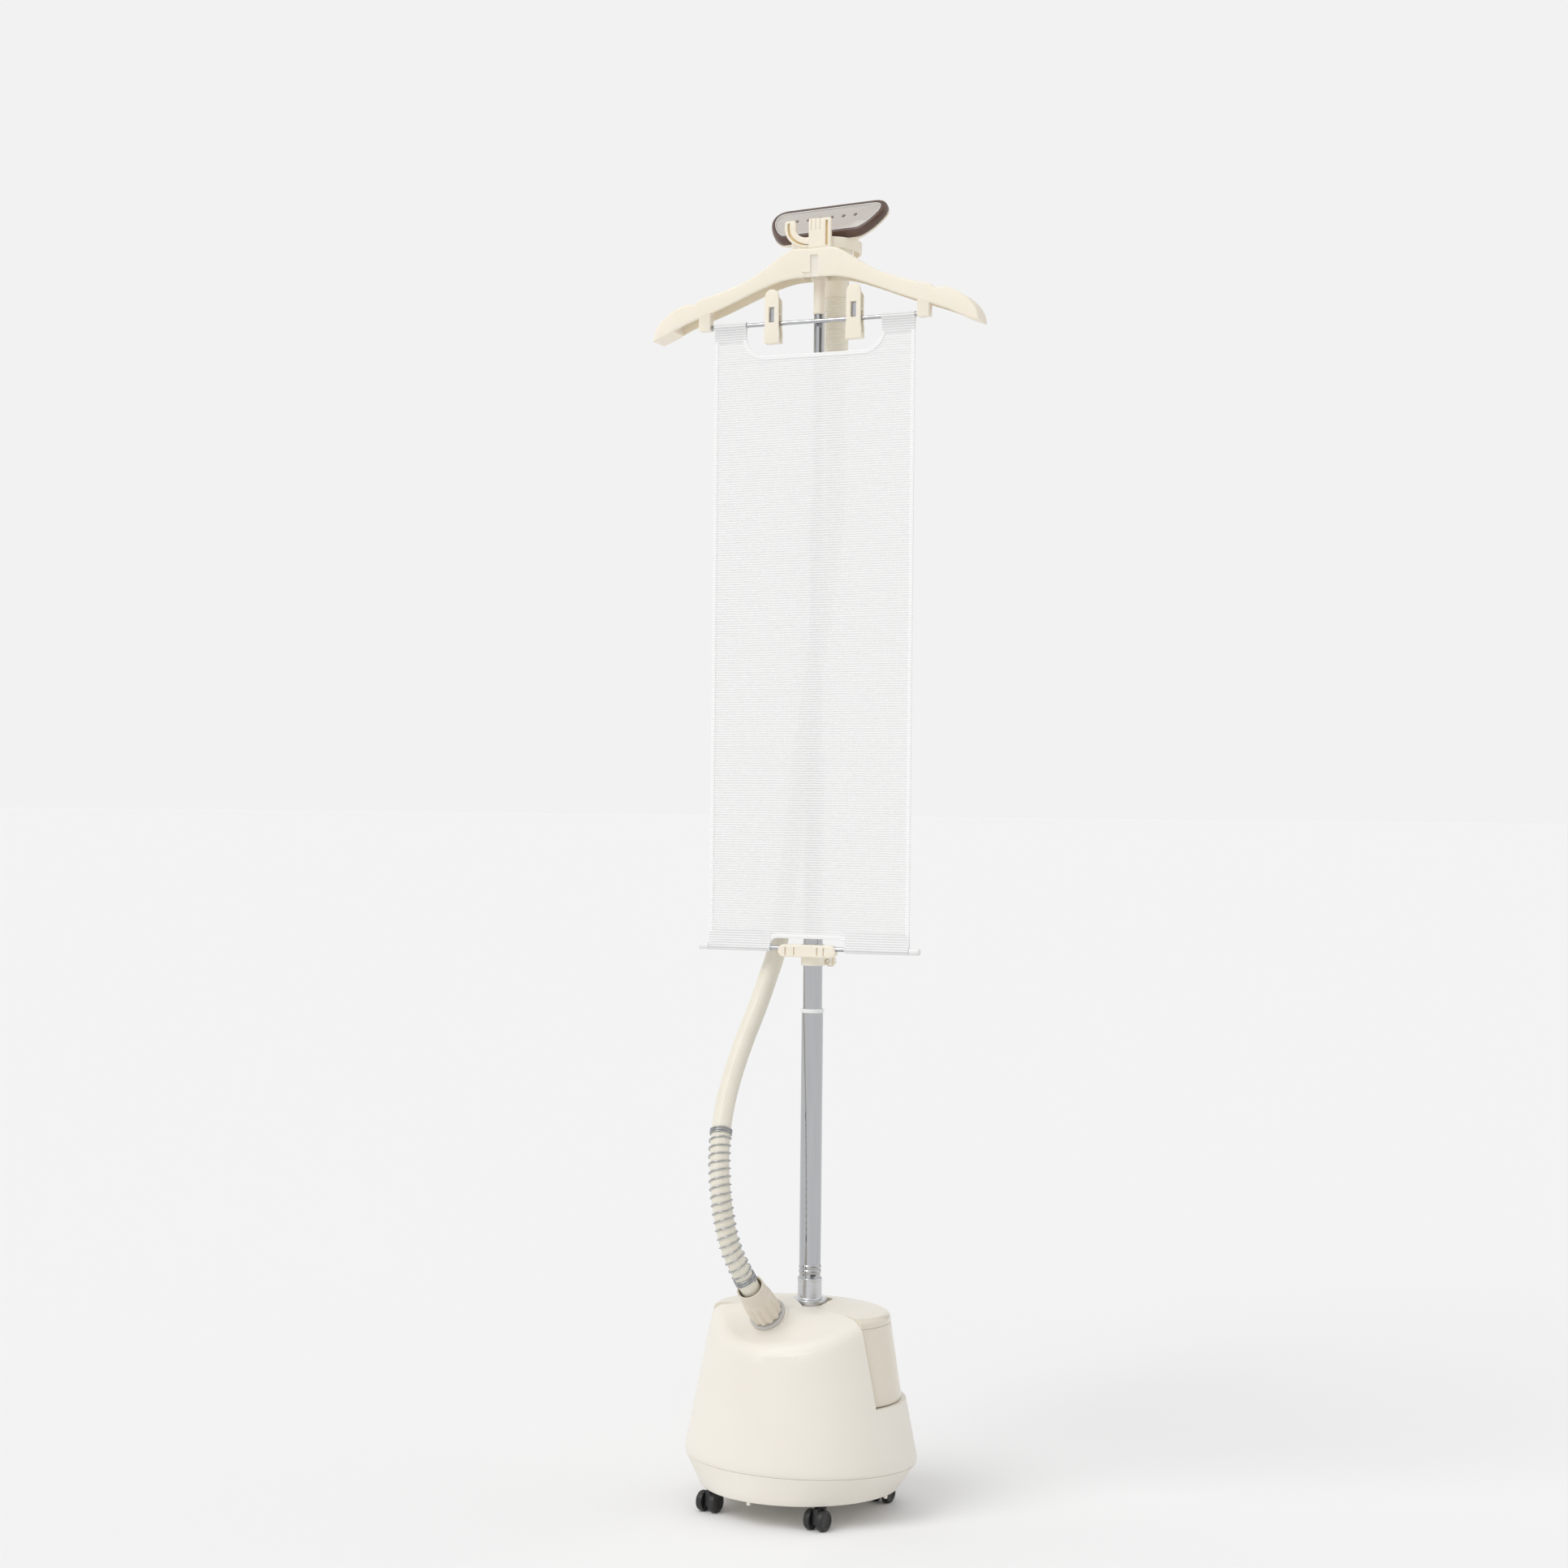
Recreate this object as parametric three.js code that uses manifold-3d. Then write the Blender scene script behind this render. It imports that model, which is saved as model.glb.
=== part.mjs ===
// A floor-standing garment steamer: a wheeled base with a lift-out water tank, a telescopic pole, a hanger with
// trouser clips, a stretched pressing cloth and a handset on a sprung hose. Millimetres, +Z up, front towards -Y.
// The origin is on the floor under the middle of the base.
import * as THREE from "three";
import { mergeVertices } from "three/addons/utils/BufferGeometryUtils.js";
import Module from "manifold-3d";

const wasm = await Module();
wasm.setup();

// ---------------------------------------------------------------- driving dimensions
const GAP = 0.4; // between pieces that touch
const WALL = 2.5; // moulded walls

// Base
const TRAY_LOW = 30; // underside of the tray above the floor
const SEAM = 67; // height where the tray meets the casing
const CORNER = 71; // height of the casing's widest corner

const BODY_HALF = [156.2, 130.6]; // the casing's half width and half depth at its corner
// The tray stands in from the corner by 25.7 mm beside and 2.6 mm in front and behind.
const TRAY_HALF = [BODY_HALF[0] - 25.7, BODY_HALF[1] - 2.6];
const TAPER = 0.1985; // how far the casing draws in for each millimetre of height
const BODY_TOP = 257.7;
const DECK_BREAK = -31; // where the flat top turns down into the sloping deck
const DECK_SLOPE = Math.atan(0.53);
const BAY_FLOOR = 146; // the ledge that the tank stands on
const BAY_SPLIT = -38; // where the tank's side walls end
const BAY_SHOULDER = 107.6; // half width at which the joint line turns in towards the pole
const TAB_ROOT = -4;
const TAB_HALF = 23.5; // half width of the tongue under the pole socket
const TAB_REAR = 45;
const TAB_ROUND = 10;
const TANK_TOP = 244;
const TANK_INSET = 5; // how far the tank stands in from the ledge
const COVER_CROWN = 268.5;
const VALVE_AT = [0, 76];
const VALVE_R = 12;

// Casters
const CASTER_AT = [80, 82];
const CASTER_TRAIL = 8;
const WHEEL_R = 13;
const WHEEL_WIDTH = 9;
const WHEEL_GAP = 9; // between the two wheels of a caster
const STEM_R = 4;

// Pole
const POLE_BACK = 20; // the pole stands this far behind the middle of the base
const MAST_TURN = THREE.MathUtils.degToRad(8.5); // how far the pole is turned in its socket
const TUBE_R = [14, 12.5, 9.3, 7];
const TUBE_WALL = 1;
const TUBE_TOP = [637, 972, 1290, 1539];
const TUBE_OVERLAP = 80; // length of each tube inside the one below
const SOCKET_TOP = 291.6;
const SOCKET_LOW = 200;
const COLLAR_WALL = 1.2;
const COLLAR_HEIGHT = 5;

// Pressing cloth, bars and clamp, measured from the pole's axis
const CLOTH_Y = -18;
const CLOTH_HALF = 139.5;
const CLOTH_THICK = 3;
const BAR_LOW = 718;
const BAR_HIGH = 1528;
const BAR_LOW_R = 3;
const BAR_HIGH_R = 2.7;
const HEM_R = 5.4;
const TAB_INNER = 94.5; // the cloth's two top loops start this far from the middle
const CUT_LOW = 1487; // lowest point of the cloth's top cut-out
const NOTCH_HALF = 54; // half width of the notch for the clamp
const NOTCH_TOP = 731;
const CLAMP_HALF = 40;
const CLAMP_LOW = 707;
const CLAMP_TOP = 723;
const CLAMP_RING_LOW = 695.7;

// Hanger
const HANGER_Y = [-26, 10]; // front and rear faces
const HOOK_AT = [144.2, 160.4];
const HOOK_LOW = 1523.4;
const HANGER_TOP = 1621;
const HANGER_ARCH = 1584;
const HANGER_TIP = 227;

// Trouser clips
const CLIP_AT = 57;
const CLIP_HALF = 10;
const CLIP_LOW = 1502;
const CLIP_TOP = 1572;
const CLIP_PIVOT = 1540;

// Handset, measured from its own upright plane of symmetry, which stays square to the base
const HANDSET_X = -5.5;
const HANDLE_Y = 74.4;
const BOOT_LOW = 1451;
const BOOT_TOP = 1594;
const BOOT_R = 16;
const HANDLE_TOP = 1617;
const HANDLE_TOP_R = 17.5;
const NECK = [35, 16]; // half width and half depth where the neck meets the head
const NECK_Y = 49;
const NECK_TOP = 1637.4;
const PLATE_AT = [42, 1667]; // depth and height of the steam plate's middle
const PLATE_TILT = THREE.MathUtils.degToRad(38);

// Cradle, measured from the pole's axis
const CRADLE_R = 46;
const CRADLE_Y = 24;

// Steam nozzle and hose
const NOZZLE_AT = new THREE.Vector3(-22, -50, 253.5);
const NOZZLE_TILT = THREE.MathUtils.degToRad(46.5);
const NUT_LENGTH = 57;
const NUT_R = 21.5;
const HOSE_R = 12.5;
const GUARD_R = 15;
const HOSE_BORE = HOSE_R + 0.7; // bores that the hose passes through

// The hose's route, chosen by hand, from inside the nut to inside the handle.
const HOSE_ROUTE = [
  [-22, -84.1, 285.9], [-23.2, -94.5, 297.5], [-28, -107.5, 319], [-34.5, -114.5, 340], [-40, -118, 362],
  [-48.6, -117.5, 402], [-57, -110, 441.4], [-65, -96, 480.5], [-71, -76, 519.7], [-74, -52, 559.1],
  [-74, -26, 599.2], [-71.3, 0, 639.9], [-66.4, 19.5, 681.6], [-63.6, 28, 702.6], [-60.5, 36, 731.2],
  [-57, 45.5, 788.3], [-53.6, 53, 848.8], [-48.9, 58.5, 914.9], [-41.8, 62, 983.5], [-35.4, 64.5, 1038.1],
  [-29.4, 67, 1092.7], [-20.4, 70, 1174.9], [-12.3, 72.4, 1256], [-7.2, 73.8, 1338], [-5.8, 74.3, 1396.7],
  [-5.5, 74.4, 1450], [-5.5, 74.4, 1510], [-5.5, 74.4, 1566],
];
const GUARD_TO = 0.165; // share of the hose that the spring guard covers

// ---------------------------------------------------------------- finishes
const finish = (color, roughness, metalness = 0) => new THREE.MeshStandardMaterial({ color, roughness,
  metalness });
const IVORY = finish("#ece6dc", 0.45);
const CREAM = finish("#efe9df", 0.5);
const FROSTED = finish("#ddd8cc", 0.3);
const CHROME = finish("#c9c9cb", 0.12, 1);
const ALUMINIUM = finish("#c4c6ca", 0.3, 1);
const STEEL = finish("#9fa3a8", 0.35, 1);
const BROWN = finish("#5f463c", 0.35);
const BLACK = finish("#232323", 0.55);
const GREY = finish("#c3c1bf", 0.5);
const CLOTH = finish("#e8e6e4", 0.9);
const HOSE = finish("#e6ddcc", 0.7);
const COPPER = finish("#b87a55", 0.35, 1);
const RUBBER = finish("#8b8a88", 0.8);

// ---------------------------------------------------------------- solids
// A closed three.js geometry as a solid for cutting and joining.
function solid(geometry) {
  const bare = geometry.clone();
  bare.deleteAttribute("normal");
  bare.deleteAttribute("uv");
  const merged = mergeVertices(bare, 1e-4);
  const corners = merged.index.array;
  const faces = [];
  for (let i = 0; i < corners.length; i += 3) {
    const [a, b, c] = corners.slice(i, i + 3);
    if (a !== b && b !== c && c !== a) faces.push(a, b, c);
  }
  const vertProperties = merged.attributes.position.array;
  const build = (list) => new wasm.Mesh({ numProp: 3, vertProperties, triVerts: Uint32Array.from(list) });
  const made = new wasm.Manifold(build(faces));
  return made.volume() > 0 ? made : new wasm.Manifold(build(faces.reverse()));
}

const asSolid = (shape) => (shape.isBufferGeometry ? solid(shape) : shape);
const join = (first, ...rest) => rest.reduce((all, next) => all.add(asSolid(next)), asSolid(first));
const cut = (first, ...rest) => rest.reduce((all, next) => all.subtract(asSolid(next)), asSolid(first));
const common = (first, ...rest) => rest.reduce((all, next) => all.intersect(asSolid(next)), asSolid(first));

function piece(name, shape, material) {
  const { vertProperties, triVerts } = asSolid(shape).getMesh();
  const geometry = new THREE.BufferGeometry();
  geometry.setAttribute("position", new THREE.BufferAttribute(vertProperties, 3));
  geometry.setIndex(new THREE.BufferAttribute(triVerts, 1));
  geometry.computeVertexNormals();
  const mesh = new THREE.Mesh(geometry, material);
  mesh.name = name;
  return mesh;
}

// ---------------------------------------------------------------- shapes
// Turned about Z from [radius, height] points. A profile that stays off the axis closes on itself.
function turned(profile, steps = 18) {
  const loop = profile.every(([r]) => r > 0) ? [...profile, profile[0]] : profile;
  const points = loop.map(([r, z]) => new THREE.Vector2(r, z));
  return new THREE.LatheGeometry(points, steps).rotateX(Math.PI / 2);
}

const rod = (r, low, high, steps = 16) => turned([[0, low], [r, low], [r, high], [0, high]], steps);
const ring = (outer, inner, low, high, steps = 20) =>
  turned([[inner, low], [outer, low], [outer, high], [inner, high]], steps);

// Turned like the above, but oval: points are [half width, half depth, height].
function ovalTurned(profile, steps = 36) {
  const shape = new THREE.LatheGeometry(profile.map(([x, , z]) => new THREE.Vector2(x, z)), steps);
  const place = shape.attributes.position;
  for (let i = 0; i < place.count; i++) {
    const [halfX, halfY] = profile[i % profile.length];
    if (halfX > 0) place.setZ(i, (place.getZ(i) * halfY) / halfX);
  }
  return shape.rotateX(Math.PI / 2);
}

function block([x0, x1], [y0, y1], [z0, z1]) {
  const box = new THREE.BoxGeometry(x1 - x0, y1 - y0, z1 - z0);
  return box.translate((x0 + x1) / 2, (y0 + y1) / 2, (z0 + z1) / 2);
}

function upright(shape, low, high, curveSegments = 4) {
  const flat = { depth: high - low, bevelEnabled: false, curveSegments };
  return new THREE.ExtrudeGeometry(shape, flat).translate(0, 0, low);
}

// An outline in X and Z given a thickness along Y.
function panel(shape, front, rear, curveSegments = 5) {
  return upright(shape, -rear, -front, curveSegments).rotateX(Math.PI / 2);
}

// Carries a shape made about +Z to an axis through `at` along `towards`.
function aimed(geometry, at, towards) {
  const turn = new THREE.Quaternion().setFromUnitVectors(new THREE.Vector3(0, 0, 1),
    towards.clone().normalize());
  return geometry.applyQuaternion(turn).translate(at.x, at.y, at.z);
}

function outline(points) {
  return new THREE.Shape(points.map(([x, y]) => new THREE.Vector2(x, y)));
}

const mirrored = (points) => [...points, ...points.map(([x, z]) => [-x, z]).reverse()];
const along = (x) => new THREE.Vector3(x, 0, 0);
const X_AXIS = new THREE.Vector3(1, 0, 0);
const Y_AXIS = new THREE.Vector3(0, 1, 0);

// ---------------------------------------------------------------- base
const bodyHalf = (z, inset = 0) => BODY_HALF.map((half) => half - TAPER * (z - CORNER) - inset);
const bodyRing = (z, inset = 0) => [...bodyHalf(z, inset), z];
const tankInset = (z) => GAP + TANK_INSET * Math.max(0, (BODY_TOP - z) / (BODY_TOP - BAY_FLOOR));
const tankRing = (z, wall = 0) => bodyRing(z, tankInset(z) + wall);

// Plan of the space that the tank fills: all behind the casing's front half, less the tongue under the pole.
function bayPlan(grow) {
  const far = 200;
  const side = BAY_SPLIT - grow;
  const root = TAB_ROOT - grow;
  const half = TAB_HALF - grow;
  const rear = TAB_REAR - grow;
  const shape = new THREE.Shape();
  shape.moveTo(-far, far);
  shape.lineTo(-far, side);
  shape.lineTo(-BAY_SHOULDER, side);
  shape.lineTo(-half, root);
  shape.absarc(TAB_ROUND - half, rear - TAB_ROUND, TAB_ROUND, Math.PI, Math.PI / 2, true);
  shape.absarc(half - TAB_ROUND, rear - TAB_ROUND, TAB_ROUND, Math.PI / 2, 0, true);
  shape.lineTo(half, root);
  shape.lineTo(BAY_SHOULDER, side);
  shape.lineTo(far, side);
  shape.lineTo(far, far);
  return shape;
}

// Everything above the sloping deck, lowered by `drop`.
function aboveDeck(drop = 0) {
  const reach = 400;
  const wedge = block([-reach, reach], [-reach, 0], [0, reach]);
  return wedge.rotateX(DECK_SLOPE).translate(0, DECK_BREAK, BODY_TOP - drop);
}

const nozzleAxis = new THREE.Vector3(0, -Math.sin(NOZZLE_TILT), Math.cos(NOZZLE_TILT));
const onNozzle = (geometry) => aimed(geometry, NOZZLE_AT, nozzleAxis);

// The shallow round dish in the deck in front of the nozzle.
function deckDish(grow = 0) {
  const radius = 110;
  const depth = 9;
  const middle = new THREE.Vector3(NOZZLE_AT.x, -62, BODY_TOP + (-62 - DECK_BREAK) * Math.tan(DECK_SLOPE));
  const up = new THREE.Vector3(0, -Math.sin(DECK_SLOPE), Math.cos(DECK_SLOPE));
  const centre = middle.addScaledVector(up, radius - depth);
  return new THREE.SphereGeometry(radius + grow, 28, 18).translate(centre.x, centre.y, centre.z);
}

function baseTray() {
  const [x, y] = TRAY_HALF;
  const [topX, topY] = bodyHalf(CORNER, 0.7);
  const top = SEAM - GAP;
  const floor = 3;
  const bowl = ovalTurned([
    [0, 0, TRAY_LOW], [x, y, TRAY_LOW], [topX, topY, top], [topX - WALL, topY - WALL, top],
    [x - WALL, y - WALL, TRAY_LOW + floor], [0, 0, TRAY_LOW + floor],
  ]);
  const posts = casterPlaces().map(([px, py]) => rod(STEM_R + 4, TRAY_LOW + 1, TRAY_LOW + 22,
    10).translate(px, py, 0));
  const bores = casterPlaces().map(([px, py]) => rod(STEM_R + GAP, 0, TRAY_LOW + 18, 12).translate(px, py, 0));
  const feet = [[0, 4 - y], [0, y - 4], [4 - x, 0], [x - 4, 0]].map(([px, py]) =>
    rod(2.5, TRAY_LOW - 3, TRAY_LOW + 1, 6).translate(px, py, 0));
  return cut(join(bowl, ...posts, ...feet), ...bores);
}

const REAR_BUTTON = [42, 104]; // across and up
const REAR_INLET = [-42, 96];
const BUTTON_R = 10;
const INLET_R = 7;
const casingRear = ([x, z], inset = 0) => {
  const [halfX, halfY] = bodyHalf(z, inset);
  return halfY * Math.sqrt(1 - (x / halfX) ** 2);
};
const rearward = (geometry, [x, z]) => aimed(geometry, new THREE.Vector3(x, 0, z), Y_AXIS);

function bodyShell() {
  const skin = ovalTurned([[0, 0, SEAM], bodyRing(SEAM, 0.8), bodyRing(CORNER), bodyRing(BODY_TOP),
    [0, 0, BODY_TOP]]);
  const roof = BODY_TOP - WALL;
  const inside = ovalTurned([[0, 0, SEAM - 9], bodyRing(SEAM - 9, WALL + 2.4), bodyRing(roof, WALL),
    [0, 0, roof]]);
  const hollow = cut(inside, upright(bayPlan(WALL), BAY_FLOOR - WALL, 400), aboveDeck(WALL + 0.5),
    deckDish(WALL));
  const boss = common(onNozzle(rod(26, -34, -4 - GAP, 24)), aboveBay());
  return cut(
    join(cut(skin, upright(bayPlan(0), BAY_FLOOR, 400), aboveDeck(), deckDish(), hollow), boss),
    onNozzle(rod(12.4, -60, 10)),
    rod(16.4, SOCKET_LOW - 20, 400, 32).translate(0, POLE_BACK, 0),
    rod(VALVE_R + 8, BAY_FLOOR - 10, BAY_FLOOR + 10).translate(...VALVE_AT, 0),
    rearward(rod(BUTTON_R + GAP, 60, 200), REAR_BUTTON),
    rearward(rod(INLET_R + GAP, 60, 200), REAR_INLET),
  );
}

// Keeps the nozzle boss in front of the tank bay and under the casing's skin.
function aboveBay() {
  return block([-80, 40], [-110, -12], [205, 290]);
}

function waterTank() {
  const low = BAY_FLOOR + GAP;
  const floor = low + 2.8;
  const skin = ovalTurned([[0, 0, low], tankRing(low), tankRing(TANK_TOP), [0, 0, TANK_TOP]]);
  const inside = ovalTurned([[0, 0, floor], tankRing(floor, WALL), tankRing(TANK_TOP + 5, WALL),
    [0, 0, TANK_TOP + 5]]);
  return cut(
    common(skin, upright(bayPlan(-GAP), low, TANK_TOP)),
    common(inside, upright(bayPlan(-GAP - WALL), floor, TANK_TOP + 5)),
    rod(VALVE_R + GAP, BAY_FLOOR - 5, floor + 5).translate(...VALVE_AT, 0),
  );
}

// The cover's crown rises behind the pole and stays level with the deck at the joint line.
function tankCover() {
  const low = TANK_TOP + GAP;
  const flat = BODY_TOP - 1.5;
  const dome = ovalTurned([
    [0, 0, low], tankRing(low), tankRing(251), [113, 88, 257], [96, 72, 262.5], [72, 54, 266], [44, 33, 267.8],
    [20, 15, COVER_CROWN - 0.2], [0, 0, COVER_CROWN],
  ]);
  const place = dome.attributes.position;
  for (let i = 0; i < place.count; i++) {
    const rise = THREE.MathUtils.smoothstep(place.getY(i), -20, 62);
    if (place.getZ(i) > flat) place.setZ(i, flat + 1.2 + (place.getZ(i) - flat - 1.2) * rise);
  }
  const under = dome.clone().scale(0.978, 0.973, 1).translate(0, 0, -2.5);
  return cut(
    common(dome, upright(bayPlan(-GAP), low, 400)),
    common(under, upright(bayPlan(-GAP - WALL), low - 10, 400)),
  );
}

function valveCap() {
  const low = BAY_FLOOR - 8;
  const rim = BAY_FLOOR + GAP + 2.8 + GAP;
  return turned([
    [3.6, low], [VALVE_R - 2, low], [VALVE_R - 0.1, low + 2], [VALVE_R - 0.1, rim], [VALVE_R + 3, rim],
    [VALVE_R + 3, rim + 3], [3.6, rim + 3],
  ]);
}

function valvePlunger() {
  const low = BAY_FLOOR - 14;
  const seat = BAY_FLOOR + 6.6;
  return turned([[0, low], [3.1, low], [3.1, seat], [8, seat], [8, seat + 2.5], [2, seat + 2.5],
    [2, seat + 10], [0, seat + 10]], 20);
}

function tankSeat() {
  const outer = VALVE_R + 8 - GAP;
  const low = BAY_FLOOR - 26;
  return turned([
    [0, low], [outer, low], [outer, BAY_FLOOR - 0.2], [outer - 3, BAY_FLOOR - 0.2], [outer - 3, low + 3],
    [2, low + 3], [2, BAY_FLOOR - 14.5], [0, BAY_FLOOR - 14.5],
  ]);
}

// ---------------------------------------------------------------- boiler and what feeds it
const BOILER_AT = [0, -34];
const BOILER_R = 46;
const BOILER = [62, BAY_FLOOR - 18]; // its foot, and its top under the ledge
const boilerPlace = (geometry) => geometry.translate(...BOILER_AT, 0);

function boilerBody() {
  const [low, high] = BOILER;
  const cup = turned([
    [0, low], [BOILER_R, low], [BOILER_R, high], [BOILER_R - 6, high], [BOILER_R - 6, low + 8], [0, low + 8],
  ], 24);
  const feet = [-1, 1].flatMap((i) => [-1, 1].map((j) => rod(6, TRAY_LOW + 3 + GAP, low + 2,
    8).translate(i * 30, j * 26, 0)));
  return join(boilerPlace(cup), ...feet.map(boilerPlace));
}

function boilerLid() {
  const low = BOILER[1] + GAP;
  const lid = boilerPlace(turned([[0, low], [BOILER_R, low], [BOILER_R, low + 4], [14, low + 10],
    [0, low + 10]], 24));
  return cut(lid, rod(4.4, low - 5, low + 20, 16).translate(riserFoot.x, riserFoot.y, 0));
}

// A path as a tube with `sides` faces; a bore leaves it hollow.
function pipe(points, radius, bore, steps, sides = 5) {
  const section = new THREE.Shape();
  section.absarc(0, 0, radius, 0, 2 * Math.PI);
  if (bore) section.holes.push(new THREE.Path().absarc(0, 0, bore, 0, 2 * Math.PI, true));
  const extrudePath = points instanceof THREE.Curve ? points : new THREE.CatmullRomCurve3(points);
  return new THREE.ExtrudeGeometry(section, { steps, curveSegments: sides, extrudePath, bevelEnabled: false });
}

const riserFoot = new THREE.Vector3(BOILER_AT[0] - 8, BOILER_AT[1] + 4, BOILER[1] + 2);

// From the boiler's lid up to the spigot behind the nozzle.
function steamRiser() {
  const spigot = NOZZLE_AT.clone().addScaledVector(nozzleAxis, -43);
  const below = NOZZLE_AT.clone().addScaledVector(nozzleAxis, -49);
  const rise = riserFoot.clone().setZ(BOILER[1] + 45);
  return pipe([riserFoot, rise, below, spigot], 3.9, 2.9, 8, 3);
}

function heaterCoil() {
  const low = BOILER[0] - 10;
  const turn = new THREE.EllipseCurve(0, 0, 22, 22, Math.PI * 0.6, Math.PI * 2.4);
  const flat = turn.getPoints(20).map((p) => new THREE.Vector3(p.x + BOILER_AT[0], p.y + BOILER_AT[1], low));
  return pipe(flat, 4, 0, 14, 3);
}

function feedPipe() {
  const start = new THREE.Vector3(VALVE_AT[0], VALVE_AT[1], BAY_FLOOR - 26 - GAP);
  return pipe([
    start, start.clone().setZ(96), new THREE.Vector3(20, 62, 82), new THREE.Vector3(34, 30, 84),
    new THREE.Vector3(26, 14, 90), new THREE.Vector3(16, BOILER_AT[1] + BOILER_R + 2, 92),
  ], 4.5, 3, 10, 3);
}

function thermostat() {
  const body = block([BOILER_R + 0.6, BOILER_R + 9], [-8, 8], [84, 104]);
  const tabs = [-5, 2].map((y) => block([BOILER_R + 8, BOILER_R + 15], [y, y + 3], [92, 95]));
  return join(boilerPlace(body), ...tabs.map(boilerPlace));
}

function powerButton() {
  const face = casingRear(REAR_BUTTON) + 3;
  return rearward(turned([
    [0, face - 16], [BUTTON_R - 3, face - 16], [BUTTON_R - 3, face - 8], [BUTTON_R, face - 8],
      [BUTTON_R, face - 1],
    [BUTTON_R - 1, face], [0, face],
  ]), REAR_BUTTON);
}

function switchModule() {
  const behind = casingRear(REAR_BUTTON) + 3 - 16 - 4;
  const [x, z] = REAR_BUTTON;
  const body = block([x - 11, x + 11], [behind - 24, behind], [z - 15, z + 15]);
  const stand = block([x - 6, x + 6], [behind - 22, behind - 10], [TRAY_LOW + 3 + GAP, z]);
  return join(body, stand);
}

function cordInlet() {
  const flange = INLET_R + 3;
  const face = casingRear([REAR_INLET[0] + flange, REAR_INLET[1] - flange]) + GAP;
  return rearward(turned([
    [3.5, face - 12], [INLET_R, face - 12], [INLET_R, face], [flange, face], [flange, face + 2],
    [5, face + 5], [3.5, face + 5],
  ]), REAR_INLET);
}

// ---------------------------------------------------------------- nozzle, nut and hose
const hoseCurve = new THREE.CatmullRomCurve3(HOSE_ROUTE.map((p) => new THREE.Vector3(...p)), false, "centripetal");

function steamOutlet() {
  return onNozzle(turned([
    [7, -42], [12, -42], [12, -4], [24, -4], [24, -0.5], [12, -0.5], [11, 3], [11, NUT_LENGTH * 0.52],
    [7, NUT_LENGTH * 0.52],
  ]));
}

function hoseNut() {
  const flutes = 12;
  const skirt = 36;
  const barrel = turned([
    [NUT_R, GAP], [NUT_R, 5], [NUT_R - 1.2, skirt], [GUARD_R + 3.1, skirt + 4], [GUARD_R + 2.6, NUT_LENGTH],
    [GUARD_R + 0.6, NUT_LENGTH], [GUARD_R + 0.6, NUT_LENGTH - 16], [12.4, NUT_LENGTH - 16], [12.4, GAP],
  ], 24);
  const grooves = [];
  for (let i = 0; i < flutes; i++) {
    const angle = (i / flutes) * 2 * Math.PI;
    grooves.push(rod(3.4, -1, skirt, 6).translate((NUT_R + 1.4) * Math.cos(angle),
      (NUT_R + 1.4) * Math.sin(angle), 0));
  }
  return cut(onNozzle(barrel), ...grooves.map(onNozzle));
}

const steamHose = () => pipe(hoseCurve, HOSE_R, 0, 48, 4);

// The sprung guard's outer size as a plain sleeve on the hose's first stretch.
function springGuard() {
  const from = 0.012;
  const points = [];
  const count = 12;
  for (let i = 0; i <= count; i++) points.push(hoseCurve.getPointAt(from + ((GUARD_TO - from) * i) / count));
  return pipe(new THREE.CatmullRomCurve3(points, false, "centripetal"), GUARD_R, GUARD_R - 0.9, 12, 4);
}

// ---------------------------------------------------------------- casters
function casterPlaces() {
  const [x, y] = CASTER_AT;
  return [[-x, -y], [x, -y], [-x, y], [x, y]];
}

// The hood turns on its stem and holds the axle of two wheels.
function casterHood() {
  const axle = -CASTER_TRAIL;
  const web = block([0.5 - WHEEL_GAP / 2, WHEEL_GAP / 2 - 0.5], [axle - 6, 4.5], [8, TRAY_LOW - 1.2]);
  const head = rod(7.5, TRAY_LOW - 4.2, TRAY_LOW - GAP, 14);
  const stem = rod(STEM_R, TRAY_LOW - 6, TRAY_LOW + 16, 12);
  const axleBore = aimed(rod(2.6, -20, 20, 10), new THREE.Vector3(0, axle, WHEEL_R), X_AXIS);
  return cut(join(web, head, stem), axleBore);
}

function casterWheels() {
  const inner = WHEEL_GAP / 2 + GAP;
  const outer = inner + WHEEL_WIDTH;
  const wheel = (sign) => rod(WHEEL_R, 0, WHEEL_WIDTH, 20).translate(0, 0, sign > 0 ? inner : -outer);
  const pair = join(wheel(1), wheel(-1), rod(2, -inner - 1, inner + 1, 8));
  return pair;
}

// ---------------------------------------------------------------- pole
const tubeLow = (i) => (i === 0 ? SOCKET_LOW + 6 : TUBE_TOP[i - 1] - TUBE_OVERLAP);

function poleSocket() {
  const r = TUBE_R[0] + GAP;
  const flange = BODY_TOP + 0.3;
  return turned([
    [r - 2, SOCKET_LOW], [r + 1.6, SOCKET_LOW], [r + 1.6, flange], [22.5, flange], [22.5, flange + 5.4],
      [21.7, flange + 6.2],
    [16.4, flange + 6.2], [15.6, flange + 7.5], [15.6, SOCKET_TOP], [r, SOCKET_TOP], [r, SOCKET_LOW + 5.5],
      [r - 2, SOCKET_LOW + 5.5],
  ]);
}

function poleTube(i) {
  const r = TUBE_R[i];
  const inner = r - TUBE_WALL;
  const low = tubeLow(i);
  if (i > 0) return ring(r, inner, low, TUBE_TOP[i]);
  const bead = (z) => [[r, z - 2.4], [r + 0.7, z - 1], [r + 0.7, z + 1], [r, z + 2.4]];
  return turned([[inner, low], [r, low], ...bead(299.4), ...bead(305.6), [r, TUBE_TOP[0]],
    [inner, TUBE_TOP[0]]]);
}

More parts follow.
